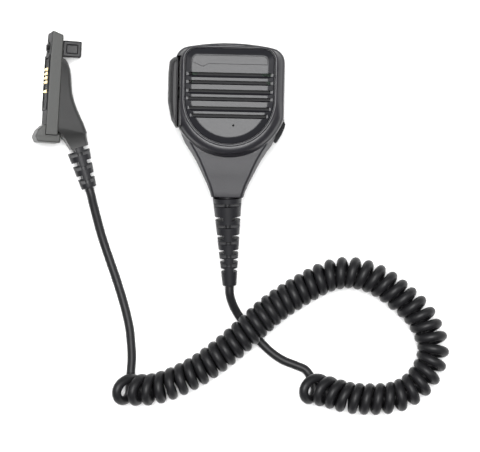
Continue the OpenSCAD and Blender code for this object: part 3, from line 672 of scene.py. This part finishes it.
KEY_IN = -28.5
KEY = [
    (KEY_IN, -15.8),
    (KEY_IN, 23.4),
    (-31.2, 23.1),
    (-33.7, 20.8),
    (-34.15, 14.0),
    (-34.1, -2.0),
    (-32.1, -11.5),
    (-29.6, -15.8),
]
KEY_RADII = [0.4, 0.8, 1.8, 2.5, 6.0, 14.0, 6.0, 0.5]
KEY_DEPTH = 5.65
KEY_MIDDLE, KEY_HALF = 3.8, 19.6
PLUNGER_Z = 21


def key_ring(inner, outer, z):
    """Plan of the key, with its inner side and its other sides drawn in."""
    ring = []
    for x, y in rounded(KEY, KEY_RADII, 6):
        across = (x - KEY_IN) * (1 - (outer + inner) / KEY_DEPTH) - inner
        ring.append((KEY_IN + across, KEY_MIDDLE + (y - KEY_MIDDLE) * (1 - outer / KEY_HALF), z))
    return ring


def make_talk_key():
    """Push-to-talk key: a long cap with a rounded outer edge and a dished front."""
    rings = []
    # Inner side and other sides drawn in, and height
    for inner, outer, z in (
        (0.3, 2.2, 16.2),
        (0.1, 1.5, 16.4),
        (0.0, 0.8, 17.2),
        (0.0, 0.3, 18.6),
        (0.0, 0.05, 20.6),
        (0.0, 0.0, 26.0),
        (0.0, 0.1, 30.2),
        (0.0, 0.45, 32.0),
        (0.0, 1.1, 33.6),
        (0.0, 1.85, 34.8),
        (0.08, 2.1, 35.2),
        (0.3, 2.35, 35.4),
        (0.62, 2.65, 35.4),
        (0.85, 2.9, 35.15),
        (0.95, 3.0, 34.6),
    ):
        rings.append(key_ring(inner, outer, z))
    key = loft("talk_key_cap", rings)
    cut(key, rod("plunger_socket", (-32, KEY_MIDDLE, PLUNGER_Z), (-20, KEY_MIDDLE, PLUNGER_Z), 2.45))
    soften(key, 0.08, 2, 50)
    return smooth(key, 45)


# ---- Clip ----

PIN_Y, PIN_Z = 14, 6
SPRING_HALF, SPRING_R = 2.3, 2.6


def make_swivel_plate():
    """Round plate that turns on the case's hub, with two ears for the clip's pin."""
    rings = []
    circle = edge_of(lambda x, y: math.hypot(x, y) < 13, 96)
    for z, share in ((8.0, 0.95), (8.2, 0.985), (8.5, 1.0), (10.2, 1.0), (10.45, 0.985), (10.6, 0.955)):
        rings.append(flat([p * share for p in circle], z))
    plate = loft("swivel_plate", rings)
    add(plate, block("hinge_bridge", (-9.4, 5, 9.0), (9.4, 17, 10.6)))
    for side in (-1, 1):
        near, far = sorted((6.4 * side, 9.4 * side))
        ear = rod("ear", (near, PIN_Y, PIN_Z), (far, PIN_Y, PIN_Z), 2.8)
        add(ear, block("ear_root", (near, 11.2, 6), (far, 16.8, 10.2)))
        add(plate, ear)
    cut(plate, rod("pin_bore", (-20, PIN_Y, PIN_Z), (20, PIN_Y, PIN_Z), 1.22, 32))
    cut(plate, rod("hub_bore", (0, 0, 8.8), (0, 0, 20), 4.93, 64))
    soften(plate, 0.25, 2, 40)
    return smooth(plate)


def make_clip_blade():
    """Long jaw of the clip: a flat blade with a toothed lip, two lugs and finger grooves."""
    plan = [(-9, -34), (9, -34), (9, 26), (-9, 26)]
    rings = []
    for z, inset in ((0.0, 0.6), (0.15, 0.25), (0.5, 0.0), (2.5, 0.0), (2.85, 0.25), (3.0, 0.6)):
        ring = drawn_in(plan, inset)
        rings.append(flat(rounded(ring, [4 - inset] * 4, 8), z))
    blade = loft("clip_blade", rings)
    lip = [(-33, 2.6), (-30, 2.6), (-30, 9.4), (-30.9, 10.4), (-32.2, 10.4), (-33, 9.6)]
    add(blade, loft("lip", [upright_x(lip, x) for x in (-7.5, 7.5)]))
    for side in (-1, 1):
        near, far = sorted((3.4 * side, 6.2 * side))
        lug = rod("lug", (near, PIN_Y, PIN_Z), (far, PIN_Y, PIN_Z), 1.9)
        add(lug, block("lug_root", (near, 12.1, 2.6), (far, 15.9, 6)))
        add(blade, lug)
    cut(blade, rod("pin_bore", (-20, PIN_Y, PIN_Z), (20, PIN_Y, PIN_Z), 1.32, 32))
    cut(blade, block("spring_rest", (-3, 13, 0.7), (-1.6, 18.8, 4)))
    for k in range(5):
        x = -6.0 + 3 * k
        cut(blade, block("lip_notch", (x - 0.45, -35, 9.3), (x + 0.45, -29, 12)))
    for k in range(4):
        y = 18.2 + 1.8 * k
        cut(blade, rod("finger_groove", (-6.5, y, -0.25), (6.5, y, -0.25), 0.62, 24))
    soften(blade, 0.2, 2, 40)
    return smooth(blade)


def make_clip_spring():
    """Torsion spring round the clip's pin, with one leg on the plate and one on the blade."""
    points = [Vector((SPRING_HALF, 16.8, 8.6))]
    turns, per_turn = 5, 28
    steps = turns * per_turn + per_turn // 2
    for k in range(steps + 1):
        angle = math.radians(90) - 2 * math.pi * k / per_turn
        x = SPRING_HALF - 2 * SPRING_HALF * k / steps
        y, z = PIN_Y + SPRING_R * math.cos(angle), PIN_Z + SPRING_R * math.sin(angle)
        points.append(Vector((x, y, z)))
    points.append(Vector((-SPRING_HALF, 17.8, 3.4)))
    return wire("clip_spring_wire", points, 0.33, 3)


# ---- Reliefs ----

GAP_HALF = 1.0
GAP_FLOOR, GAP_REACH = 2.4, 12.0
CORE_R = 2.9
CORD_BORE_R = 2.5


def ribbed_relief(name, length, radii, face_slots, side_slots):
    """Tapered rubber sleeve along +Z, slotted by turns from its faces and from its sides."""
    circle = edge_of(lambda x, y: math.hypot(x, y) < 1, 64)
    rings = []
    slope = (radii[1] - radii[0]) / length
    for s, trim in ((0.0, 0.0), (length - 0.5, 0.0), (length - 0.15, 0.18), (length, 0.5)):
        radius = radii[0] + slope * s - trim
        rings.append(flat([p * radius for p in circle], s))
    sleeve = loft(name, rings)
    for slots, across in ((face_slots, 1), (side_slots, 0)):
        for s in slots:
            for side in (-1, 1):
                low = [-GAP_REACH, -GAP_REACH, s - GAP_HALF]
                high = [GAP_REACH, GAP_REACH, s + GAP_HALF]
                if side > 0:
                    low[across] = GAP_FLOOR
                else:
                    high[across] = -GAP_FLOOR
                cut(sleeve, block("slot", low, high))
    add(sleeve, rod("core", (0, 0, 0.4), (0, 0, length - 0.6), CORE_R, 48))
    soften(sleeve, 0.28, 2, 40)
    return sleeve


def make_mic_relief():
    """Relief at the microphone, with the inner neck and flange that hold it in the case."""
    face = (3.7, 15.7, 25.1, 32.8, 38.0)
    side = (11.4, 21.7, 30.2, 35.3, 40.9)
    relief = ribbed_relief("microphone_relief", RELIEF_LENGTH, (8.1, 3.9), face, side)
    add(relief, rod("inner_neck", (0, 0, -4.5), (0, 0, 1), 4.9))
    add(relief, rod("inner_flange", (0, 0, -6.2), (0, 0, -4.2), 5.6))
    cut(relief, rod("cord_bore", (0, 0, -9), (0, 0, 60), CORD_BORE_R, 32))
    return smooth(put_in(relief, RELIEF_PLACE))


# ---- Plug ----

PLUG_AT = Vector((-104.35, -25.3, 12.75))
PLUG_PLACE = (
    Matrix.Translation(PLUG_AT * MM)
    @ Matrix.Rotation(math.radians(-2.1), 4, "Z")
    @ Matrix.Rotation(math.radians(12), 4, "Y")
)
PLUG_RELIEF_PLACE = (
    PLUG_PLACE
    @ Matrix.Translation(Vector((19.9, -1.8, 0)) * MM)
    @ Matrix.Rotation(math.radians(19.5), 4, "Z")
    @ Matrix.Rotation(math.radians(90), 4, "X")
)
RELIEF_IN_PLUG = PLUG_PLACE.inverted() @ PLUG_RELIEF_PLACE
PLUG_RELIEF_LENGTH = 23.4
SCREW_UP = 53.3
FRAME_DEPTH = 7.05
FOOT_TOP = 10
# Hood: place along the plug, depth, half-width at the frame, half-width at the back
HOOD = (
    (48.1, 7.5, 6.3, 5.2),
    (47.2, 9.2, 7.8, 5.9),
    (46.0, 10.4, 8.7, 6.4),
    (44.2, 11.4, 9.2, 6.8),
    (42.0, 12.4, 9.6, 7.0),
    (38.0, 13.2, 9.8, 7.4),
    (33.0, 13.7, 9.8, 7.5),
    (28.0, 14.5, 9.8, 7.6),
    (23.5, 16.0, 9.8, 7.6),
    (19.4, 17.8, 9.8, 7.6),
    (16.0, 19.6, 9.7, 7.5),
    (12.0, 21.8, 9.5, 7.4),
    (9.0, 23.2, 9.2, 7.2),
    (6.6, 24.2, 8.7, 7.0),
)


def plate(name, corners, half, edge, radii):
    """A plate with a given outline, from -half to half across the plug, its faces softened by edge."""
    rings = []
    for z, inset in ((-half, edge), (-half + edge * 0.3, edge * 0.3), (-half + edge, 0.0)):
        rings.append(flat(rounded(drawn_in(corners, inset), radii), z))
    for z, inset in ((half - edge, 0.0), (half - edge * 0.3, edge * 0.3), (half, edge)):
        rings.append(flat(rounded(drawn_in(corners, inset), radii), z))
    return loft(name, rings)


def make_plug_body():
    """Contact side of the plug: a long plate with a foot that hooks under the radio's ledge."""
    slab = [(0.0, 4.0), (7.0, 4.0), (7.0, 60.2), (0.8, 62.3), (0.2, 46.0)]
    body = plate("plug_body", slab, 11.5, 0.7, [0.5, 0.5, 1.2, 0.5, 2.0])
    foot = [(-3.9, 0.0), (8.8, 0.0), (8.8, 4.2), (7.0, 5.6), (0.0, 10.0), (-1.3, 9.6), (-4.0, 6.8)]
    foot.append((-5.4, 3.0))
    add(body, plate("foot", foot, 10, 0.8, [1.0, 1.0, 0.8, 0.5, 0.6, 0.8, 1.0, 0.8]))
    for side in (-1, 1):
        low, high = sorted((9.5 * side, 12 * side))
        cut(body, block("foot_groove", (-7, 3.05, low), (8.0, 3.5, high)))
    cut(body, block("contact_pocket", (-2, 21, -7), (5.8, 46, 7)))
    seal = block("seal_groove", (-2, 18, -10), (0.9, 49, 10))
    cut(seal, block("seal_island", (-3, 19.8, -8.2), (3, 47.2, 8.2)))
    cut(body, seal)
    cut(body, rod("wire_way", (5, 25, 0), (10, 25, 0), 3))
    cut(body, rod("screw_way", (-5, SCREW_UP, 0), (15, SCREW_UP, 0), 2.05))
    cut(body, rod("screw_seat", (-5, SCREW_UP, 0), (3.6, SCREW_UP, 0), 3.6))
    soften(body, 0.15, 2, 45)
    return smooth(put_in(body, PLUG_PLACE))


def hood_ring(depth, front, back):
    """Section of the hood, with its two back corners as round as its depth allows."""
    corner = min(3.4, (depth - FRAME_DEPTH) * 0.62, back - 0.3)
    corners = [(FRAME_DEPTH, -front), (depth, -back), (depth, back), (FRAME_DEPTH, front)]
    return rounded(corners, [0.2, max(0.2, corner), max(0.2, corner), 0.2], 7)


def make_plug_hood():
    """Hood that carries the cord out of the plug, with the collar of the strain relief."""
    rings = [[(p[0], u, p[1]) for p in hood_ring(d, f, b)] for u, d, f, b in HOOD]
    hood = loft("plug_hood_skin", rings + hood_neck_rings(rings[-1]))
    cut(hood, put_in(rod("cord_bore", (0, 0, -14), (0, 0, 8), CORD_BORE_R, 32), RELIEF_IN_PLUG))
    cut(hood, rod("wire_way", (5, 25, 0), (11, 25, 0), 3))
    soften(hood, 0.12, 2, 50)
    return smooth(put_in(hood, PLUG_PLACE), 42)


def hood_neck_rings(last):
    """Rings from the hood's last rib to the round collar, matched point by point by direction."""
    middle = sum((Vector(p) for p in last), Vector()) / len(last)
    rings = []
    for share, s in ((0.35, -6.2), (0.7, -3.6), (0.92, -1.8), (1.0, -0.7), (1.0, -0.15), (1.0, 0.0)):
        ring = []
        radius = 6.55 if s < -0.3 else (6.45 if s < -0.1 else 6.2)
        for point in last:
            across = Vector(point) - middle
            angle = math.atan2(across.z, across.x)
            round_point = Vector((radius * math.cos(angle), radius * math.sin(angle), s)) * MM
            target = (RELIEF_IN_PLUG @ round_point) / MM
            ring.append(Vector(point).lerp(target, share))
        rings.append(ring)
    return rings


def make_thumb_screw():
    """Screw with a paddle head: a round shank, a threaded tip and scooped sides."""
    circle = edge_of(lambda x, y: math.hypot(x, y) < 1, 32)
    pitch, crest, root, shank = 0.65, 1.88, 1.5, 1.58
    v = -1.2
    rings = [(v, 1.3)]
    while v < 1.6:
        rings += [(v + 0.25, crest), (v + 0.4, crest), (v + 0.6, root)]
        v += pitch
    rings += [(v + 0.05, shank), (7.6, shank)]
    screw = loft("thumb_screw_knob", [[(v, p.x * r, p.y * r) for p in circle] for v, r in rings])
    collar = rod("collar", (7.35, 0, 0), (8.3, 0, 0), 3.4)
    head = block("paddle", (7.9, -4.6, -2.5), (18.6, 4.6, 2.5), soft=0.9)
    for side in (-1, 1):
        scoop = block("scoop", (9.8, -2.7, side * 3.2 - 1.6), (16.6, 2.7, side * 3.2 + 1.6), soft=0.8)
        cut(head, scoop)
    soften(head, 0.3, 2, 40)
    add(head, collar)
    add(screw, head)
    put_in(screw, Matrix.Translation(Vector((0, SCREW_UP, 0)) * MM))
    return smooth(put_in(screw, PLUG_PLACE), 40)


def make_plug_relief():
    """Relief at the plug, on the hood's collar."""
    face = (3.7, 11.6, 19.5)
    side = (0.9, 8.75, 16.6)
    relief = ribbed_relief("plug_cable_relief", PLUG_RELIEF_LENGTH, (6.55, 4.25), face, side)
    cut(relief, rod("cord_bore", (0, 0, -3), (0, 0, 30), CORD_BORE_R, 32))
    return smooth(put_in(relief, PLUG_RELIEF_PLACE))


# ---- Cord ----

CORD_R = 2.45
COIL_R = 6.4
PLUMPER = 0.08  # how much thicker the wound part is
# Middle line of the coil, from the plug's end to the microphone's
COIL_AXIS = (
    (-60, -162.9, 9.1),
    (-50, -163.3, 9.1),
    (-40, -162.7, 9.1),
    (-31, -160.1, 9.1),
    (-21, -155.4, 9.2),
    (-11, -149.3, 10.2),
    (-1, -141.4, 12.8),
    (8.9, -132.5, 14.7),
    (18.8, -123, 14.7),
    (28.8, -114.3, 12.6),
    (38.7, -107.6, 10),
    (48.7, -101.4, 9.1),
    (58.8, -96.4, 9.1),
    (68.9, -94.5, 9.1),
    (79, -96, 9.1),
    (89.3, -100.5, 9.1),
    (99.6, -108.2, 9.1),
    (108.8, -116.4, 9.1),
    (114.6, -125.8, 9.1),
    (117.7, -134.8, 9.1),
    (116.7, -143.8, 9.1),
    (113, -151.8, 9.1),
    (106.4, -159, 9.1),
    (98.6, -163.4, 9.1),
    (90.7, -165, 9.1),
    (80.6, -165.5, 9.1),
    (70.5, -164.9, 9.1),
    (60.3, -162.3, 9.1),
    (51, -160.4, 9.1),
    (43, -160, 9.1),
)
MIC_LEAD = (
    (4.2, -113.5, 6.6),
    (6.4, -118, 3.7),
    (9, -121.8, 2.6),
    (15, -129, 2.5),
    (21.4, -135.9, 2.5),
    (27.5, -141.3, 2.5),
    (34, -145.3, 2.5),
    (41, -147.9, 2.5),
    (46.8, -150.6, 2.5),
)
PLUG_LEAD = (
    (-52.4, -153, 2.5),
    (-52.1, -145.7, 2.5),
    (-52.6, -138.3, 2.5),
    (-53.6, -129.9, 2.5),
    (-55.5, -121.4, 2.5),
    (-58.3, -111.9, 2.5),
    (-61.3, -102.9, 2.5),
    (-64.6, -93.9, 2.5),
    (-67.9, -85, 2.6),
    (-71, -76, 3.2),
    (-73.4, -67.5, 4.4),
    (-75.6, -59.5, 5.7),
)
# Turns of the coil, and how far along its axis each is
TURNS = ((-0.5, 1.8), (0, 6), (12, 80), (23, 141), (42, 267), (48, 304), (48.5, 308.5))
FIRST_TURN, LAST_TURN = -0.5, 48.5
COIL_START, COIL_END = 6, 304  # the first and last whole turn
# How far the end turns lean, and over what distance that fades
START_LEAN, END_LEAN, LEAN_FADE = 5.3, 5.6, 15
PER_TURN = 32
PITCH = 6.2  # usual distance between turns


def smooth_through(points, steps=12):
    """A smooth line through points that may be unevenly spaced: a centripetal Catmull-Rom spline."""
    points = [Vector(p) for p in points]
    ends = [2 * points[0] - points[1], *points, 2 * points[-1] - points[-2]]
    line = []
    for k in range(1, len(ends) - 2):
        p0, p1, p2, p3 = ends[k - 1 : k + 3]
        d0, d1, d2 = (math.sqrt((b - a).length) for a, b in ((p0, p1), (p1, p2), (p2, p3)))
        m1 = d1 * ((p1 - p0) / d0 - (p2 - p0) / (d0 + d1) + (p2 - p1) / d1)
        m2 = d1 * ((p2 - p1) / d1 - (p3 - p1) / (d1 + d2) + (p3 - p2) / d2)
        for step in range(steps):
            t = step / steps
            line.append(
                p1 * (2 * t**3 - 3 * t**2 + 1)
                + m1 * (t**3 - 2 * t**2 + t)
                + p2 * (3 * t**2 - 2 * t**3)
                + m2 * (t**3 - t**2)
            )
    line.append(points[-1])
    return line


class Track:
    """A line that is read by the distance along it."""

    def __init__(self, points):
        self.points = smooth_through(points, 24)
        self.along = [0.0]
        for a, b in zip(self.points, self.points[1:]):
            self.along.append(self.along[-1] + (b - a).length)

    def at(self, distance):
        """The point at a distance along the line, and the direction there."""
        low, high = 0, len(self.along) - 2
        while low < high:
            k = (low + high + 1) // 2
            if self.along[k] <= distance:
                low = k
            else:
                high = k - 1
        a, b = self.points[low], self.points[low + 1]
        step = self.along[low + 1] - self.along[low]
        share = (distance - self.along[low]) / step
        return a.lerp(b, share), (b - a).normalized()


turn_table = smooth_through([(turn * PITCH, place, 0) for turn, place in TURNS], 24)


def turn_place(turn):
    """Distance along the coil's axis at which a turn lies."""
    for a, b in zip(turn_table, turn_table[1:]):
        if turn * PITCH <= b.x:
            return a.y + (b.y - a.y) * (turn * PITCH - a.x) / (b.x - a.x)
    return b.y


def coil_point(track, turn):
    """A point of the curly stretch. The end turns lean, so that a lead leaves under the next turn."""
    place = turn_place(turn)
    at_end = END_LEAN * math.exp(-max(0, COIL_END - place) / LEAN_FADE)
    at_start = START_LEAN * math.exp(-max(0, place - COIL_START) / LEAN_FADE)
    lean = at_end - at_start
    angle = math.radians(90 - 360 * turn)
    middle, ahead = track.at(place + lean * math.sin(angle))
    left = Vector((-ahead.y, ahead.x, 0)).normalized()
    rise = Vector((0, 0, 1))
    return middle + COIL_R * (math.cos(angle) * left + math.sin(angle) * rise)


def on_relief(place, distance):
    """A point on a relief's middle line, a distance from its root."""
    return (place @ Vector((0, 0, distance * MM))) / MM


def cord_runs():
    """The cord's middle line in three runs: microphone lead, coil, plug lead."""
    track = Track(COIL_AXIS)
    count = int((LAST_TURN - FIRST_TURN) * PER_TURN)
    coil = [coil_point(track, LAST_TURN - k / PER_TURN) for k in range(count + 1)]
    start = [on_relief(RELIEF_PLACE, RELIEF_LENGTH + s) for s in (-4, 0, 5)]
    mic_lead = smooth_through([*start, *MIC_LEAD, coil[0], coil[2]])[:-12]
    end = [on_relief(PLUG_RELIEF_PLACE, PLUG_RELIEF_LENGTH + s) for s in (4, 0, -4)]
    plug_lead = smooth_through([coil[-3], coil[-1], *PLUG_LEAD, *end])[12:]
    return mic_lead[:-1], coil, plug_lead[1:]


def wire(name, points, radius, resolution):
    """A round wire along a line of points."""
    data = bpy.data.curves.new(name, "CURVE")
    data.dimensions = "3D"
    data.bevel_depth = radius * MM
    data.bevel_resolution = resolution
    data.use_fill_caps = True
    spline = data.splines.new("POLY")
    spline.points.add(len(points) - 1)
    for place, point in zip(spline.points, points):
        place.co = (*(Vector(point) * MM), 1)
    spline.use_smooth = True
    piece = bpy.data.objects.new(name, data)
    bpy.context.scene.collection.objects.link(piece)
    return piece


mic_run, coil_run, plug_run = cord_runs()
line = mic_run + coil_run + plug_run
curly_cord = wire("curly_cord", line, CORD_R, 4)
# The wound part is a little thicker than the straight leads
for number, point in enumerate(curly_cord.data.splines[0].points):
    into_coil = min(number - len(mic_run), len(mic_run) + len(coil_run) - number)
    point.radius = 1 + PLUMPER * min(1, max(0, into_coil / 12))

# ---- Finishes ----


GLOSS_SPREAD = 0.06
GRAINS_PER_PATCH = 14


def finish(name, colour, roughness, grain, depth, mottle=0.12, metallic=0.0, specular=0.5, sheen=0.0):
    """A procedural surface: fine moulded grain, slight mottling of its colour and of its gloss."""
    material = bpy.data.materials.new(name)
    material.use_nodes = True
    nodes, links = material.node_tree.nodes, material.node_tree.links
    shader = nodes["Principled BSDF"]
    shader.inputs["Metallic"].default_value = metallic
    shader.inputs["Specular IOR Level"].default_value = specular
    shader.inputs["Sheen Weight"].default_value = sheen
    place = nodes.new("ShaderNodeTexCoord")
    patch = nodes.new("ShaderNodeTexNoise")
    patch.inputs["Scale"].default_value = grain / GRAINS_PER_PATCH
    patch.inputs["Detail"].default_value = 4
    links.new(place.outputs["Object"], patch.inputs["Vector"])
    tint = nodes.new("ShaderNodeMix")
    tint.data_type = "RGBA"
    tint.inputs["A"].default_value = (*[c * (1 - mottle) for c in colour], 1)
    tint.inputs["B"].default_value = (*[c * (1 + mottle) for c in colour], 1)
    links.new(patch.outputs["Fac"], tint.inputs["Factor"])
    links.new(tint.outputs["Result"], shader.inputs["Base Color"])
    speck = nodes.new("ShaderNodeTexNoise")
    speck.inputs["Scale"].default_value = grain
    speck.inputs["Detail"].default_value = 3
    links.new(place.outputs["Object"], speck.inputs["Vector"])
    gloss = nodes.new("ShaderNodeMapRange")
    gloss.inputs["To Min"].default_value = roughness - GLOSS_SPREAD
    gloss.inputs["To Max"].default_value = roughness + GLOSS_SPREAD
    links.new(speck.outputs["Fac"], gloss.inputs["Value"])
    links.new(gloss.outputs["Result"], shader.inputs["Roughness"])
    bump = nodes.new("ShaderNodeBump")
    bump.inputs["Distance"].default_value = depth * MM
    bump.inputs["Strength"].default_value = 0.6
    links.new(speck.outputs["Fac"], bump.inputs["Height"])
    links.new(bump.outputs["Normal"], shader.inputs["Normal"])
    return material


def weave(name, colour, pitch, depth):
    """Plain-woven cloth: two sets of threads that cross."""
    material = finish(name, colour, 0.85, 2500, 0.02, sheen=0.3)
    nodes, links = material.node_tree.nodes, material.node_tree.links
    place, bump = nodes["Texture Coordinate"], nodes["Bump"]
    cross = nodes.new("ShaderNodeMath")
    cross.operation = "MULTIPLY"
    for number, direction in enumerate(("X", "Y")):
        threads = nodes.new("ShaderNodeTexWave")
        threads.bands_direction = direction
        threads.inputs["Scale"].default_value = math.pi / (10 * pitch * MM)
        links.new(place.outputs["Object"], threads.inputs["Vector"])
        links.new(threads.outputs["Fac"], cross.inputs[number])
    links.new(cross.outputs["Value"], bump.inputs["Height"])
    bump.inputs["Distance"].default_value = depth * MM
    return material


case_grain = finish("charcoal_case_plastic", (0.014, 0.0135, 0.0165), 0.37, 1500, 0.05, specular=0.37)
panel_grain = finish("charcoal_panel_plastic", (0.012, 0.012, 0.0145), 0.35, 1500, 0.05, specular=0.27)
key_rubber = finish("black_key_rubber", (0.014, 0.014, 0.015), 0.45, 1900, 0.03, specular=0.2)
flap_rubber = finish("black_flap_rubber", (0.006, 0.006, 0.007), 0.55, 1900, 0.03, specular=0.1)
clip_plastic = finish("black_clip_plastic", (0.018, 0.018, 0.02), 0.42, 1500, 0.04)
relief_rubber = finish("dark_relief_rubber", (0.011, 0.011, 0.013), 0.42, 1500, 0.03, specular=0.3)
cord_rubber = finish("black_cord_jacket", (0.009, 0.009, 0.01), 0.45, 1100, 0.025, specular=0.24)
soft_rubber = finish("matt_seal_rubber", (0.012, 0.012, 0.012), 0.75, 1800, 0.03)
plug_plastic = finish("grey_plug_plastic", (0.017, 0.018, 0.016), 0.44, 1500, 0.04, specular=0.34)
hood_plastic = finish("grey_hood_plastic", (0.02, 0.02, 0.02), 0.4, 1300, 0.03, specular=0.5)
knob_plastic = finish("dark_knob_plastic", (0.014, 0.014, 0.015), 0.42, 1500, 0.03, specular=0.25)
block_plastic = finish("glossy_black_plastic", (0.01, 0.01, 0.01), 0.3, 1500, 0.01)
white_plastic = finish("natural_white_plastic", (0.7, 0.7, 0.66), 0.45, 1200, 0.02, 0.04)
bare_steel = finish("zinc_plated_steel", (0.62, 0.62, 0.6), 0.3, 900, 0.01, 0.1, 1.0)
magnet_plating = finish("dull_magnet_plating", (0.35, 0.35, 0.36), 0.45, 900, 0.02, 0.15, 1.0)
contact_gold = finish("gold_contact_plating", (0.62, 0.5, 0.27), 0.35, 900, 0.01, 0.06, 1.0)
board_green = finish("green_board_laminate", (0.015, 0.09, 0.035), 0.4, 700, 0.02, 0.25)
cone_paper = finish("black_cone_paper", (0.02, 0.02, 0.022), 0.85, 600, 0.08, 0.3)
wire_red = finish("red_wire_sleeve", (0.4, 0.03, 0.02), 0.5, 1200, 0.02)
cloth_black = weave("black_dust_cloth", (0.012, 0.012, 0.013), 0.45, 0.12)


def dress(piece, material):
    """Give a piece its finish."""
    piece.data.materials.clear()
    piece.data.materials.append(material)


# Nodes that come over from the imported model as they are
INNER_FINISHES = {
    "speaker_frame": bare_steel,
    "speaker_cone": cone_paper,
    "speaker_magnet": magnet_plating,
    "speaker_gasket": soft_rubber,
    "mic_capsule": soft_rubber,
    "mic_boot": soft_rubber,
    "main_board": board_green,
    "board_parts": block_plastic,
    "ptt_plunger": white_plastic,
    "ptt_seal": soft_rubber,
    "ptt_switch": block_plastic,
    "ptt_frame": key_rubber,
    "jack_socket": block_plastic,
    "body_seal": soft_rubber,
    "case_screws": bare_steel,
    "clip_hub": bare_steel,
    "clip_retainer": bare_steel,
    "hub_screw": bare_steel,
    "clip_pin": bare_steel,
    "cord_tail": cord_rubber,
    "cord_clamp": bare_steel,
    "inner_wires": wire_red,
    "plug_contact_block": flap_rubber,
    "plug_contacts": contact_gold,
    "plug_seal": flap_rubber,
    "plug_board": board_green,
    "plug_screw_clip": bare_steel,
    "plug_tail": cord_rubber,
}
for node, material in INNER_FINISHES.items():
    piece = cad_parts[node]
    piece.data.materials.clear()
    piece.data.materials.append(material)

# ---- Pieces ----


def place(piece, body, material, slot, *nodes):
    """Finish a piece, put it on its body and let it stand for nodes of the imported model."""
    dress(piece, material)
    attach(piece, body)
    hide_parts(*nodes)
    return piece


place(make_front_shell(), "housing", case_grain, "case_plastic", "front_cover")
place(make_back_shell(), "housing", case_grain, "case_plastic", "back_cover")
place(make_louvre_panel(), "housing", panel_grain, "panel_plastic", "grille_panel")
place(make_name_strip(), "housing", panel_grain, "panel_plastic", "name_strip")
place(make_talk_key(), "talk_key", key_rubber, "key_plastic", "ptt_button")
place(make_flap(), "jack_flap", flap_rubber, "flap_rubber", "jack_cover")
place(make_swivel_plate(), "clip_swivel", clip_plastic, "clip_plastic", "clip_base")
place(make_clip_blade(), "clip_jaw", clip_plastic, "clip_plastic", "clip_arm")
place(make_clip_spring(), "clip_swivel", bare_steel, "bare_steel", "clip_spring")
place(make_mic_relief(), "housing", relief_rubber, "relief_rubber", "mic_relief")

dust_cloth = place(make_dust_cloth(), "housing", cloth_black, "dust_cloth", "speaker_cloth")

plug_body = place(make_plug_body(), "housing", plug_plastic, "plug_plastic", "plug_frame")
# The faces on the side that meets the radio, above the foot, are made darker with the black rubber
# finish
plug_body.data.materials.append(flap_rubber)
for face in plug_body.data.polygons:
    centre = PLUG_PLACE.inverted() @ face.center
    facing = PLUG_PLACE.to_3x3().inverted() @ face.normal
    if facing.x < -0.6 and centre.x < 1.5 * MM and centre.y > FOOT_TOP * MM:
        face.material_index = 1
plug_pieces = [
    plug_body,
    place(make_plug_hood(), "housing", hood_plastic, "hood_plastic", "plug_hood"),
    place(make_thumb_screw(), "thumb_screw", knob_plastic, "knob_plastic", "plug_screw"),
    place(make_plug_relief(), "housing", relief_rubber, "relief_rubber", "plug_relief"),
]
PLUG_NODES = ("plug_contact_block", "plug_contacts", "plug_seal", "plug_board")
PLUG_NODES += ("plug_screw_clip", "plug_tail")
for node in PLUG_NODES:
    plug_pieces.append(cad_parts[node])
place(curly_cord, "housing", cord_rubber, "cord_rubber", "cord_lead_mic", "cord_coil", "cord_lead_plug")


def make_table():
    """The pale table that it all lies on, a hair below the lowest piece."""
    put_down()
    bpy.ops.mesh.primitive_plane_add(size=8, location=(0, 0, -0.0002))
    table = bpy.context.object
    table.name = "white_table"
    paint = finish("white_table_paint", (0.92, 0.92, 0.92), 0.7, 40, 0.01, 0.01)
    table.data.materials.append(paint)


make_table()
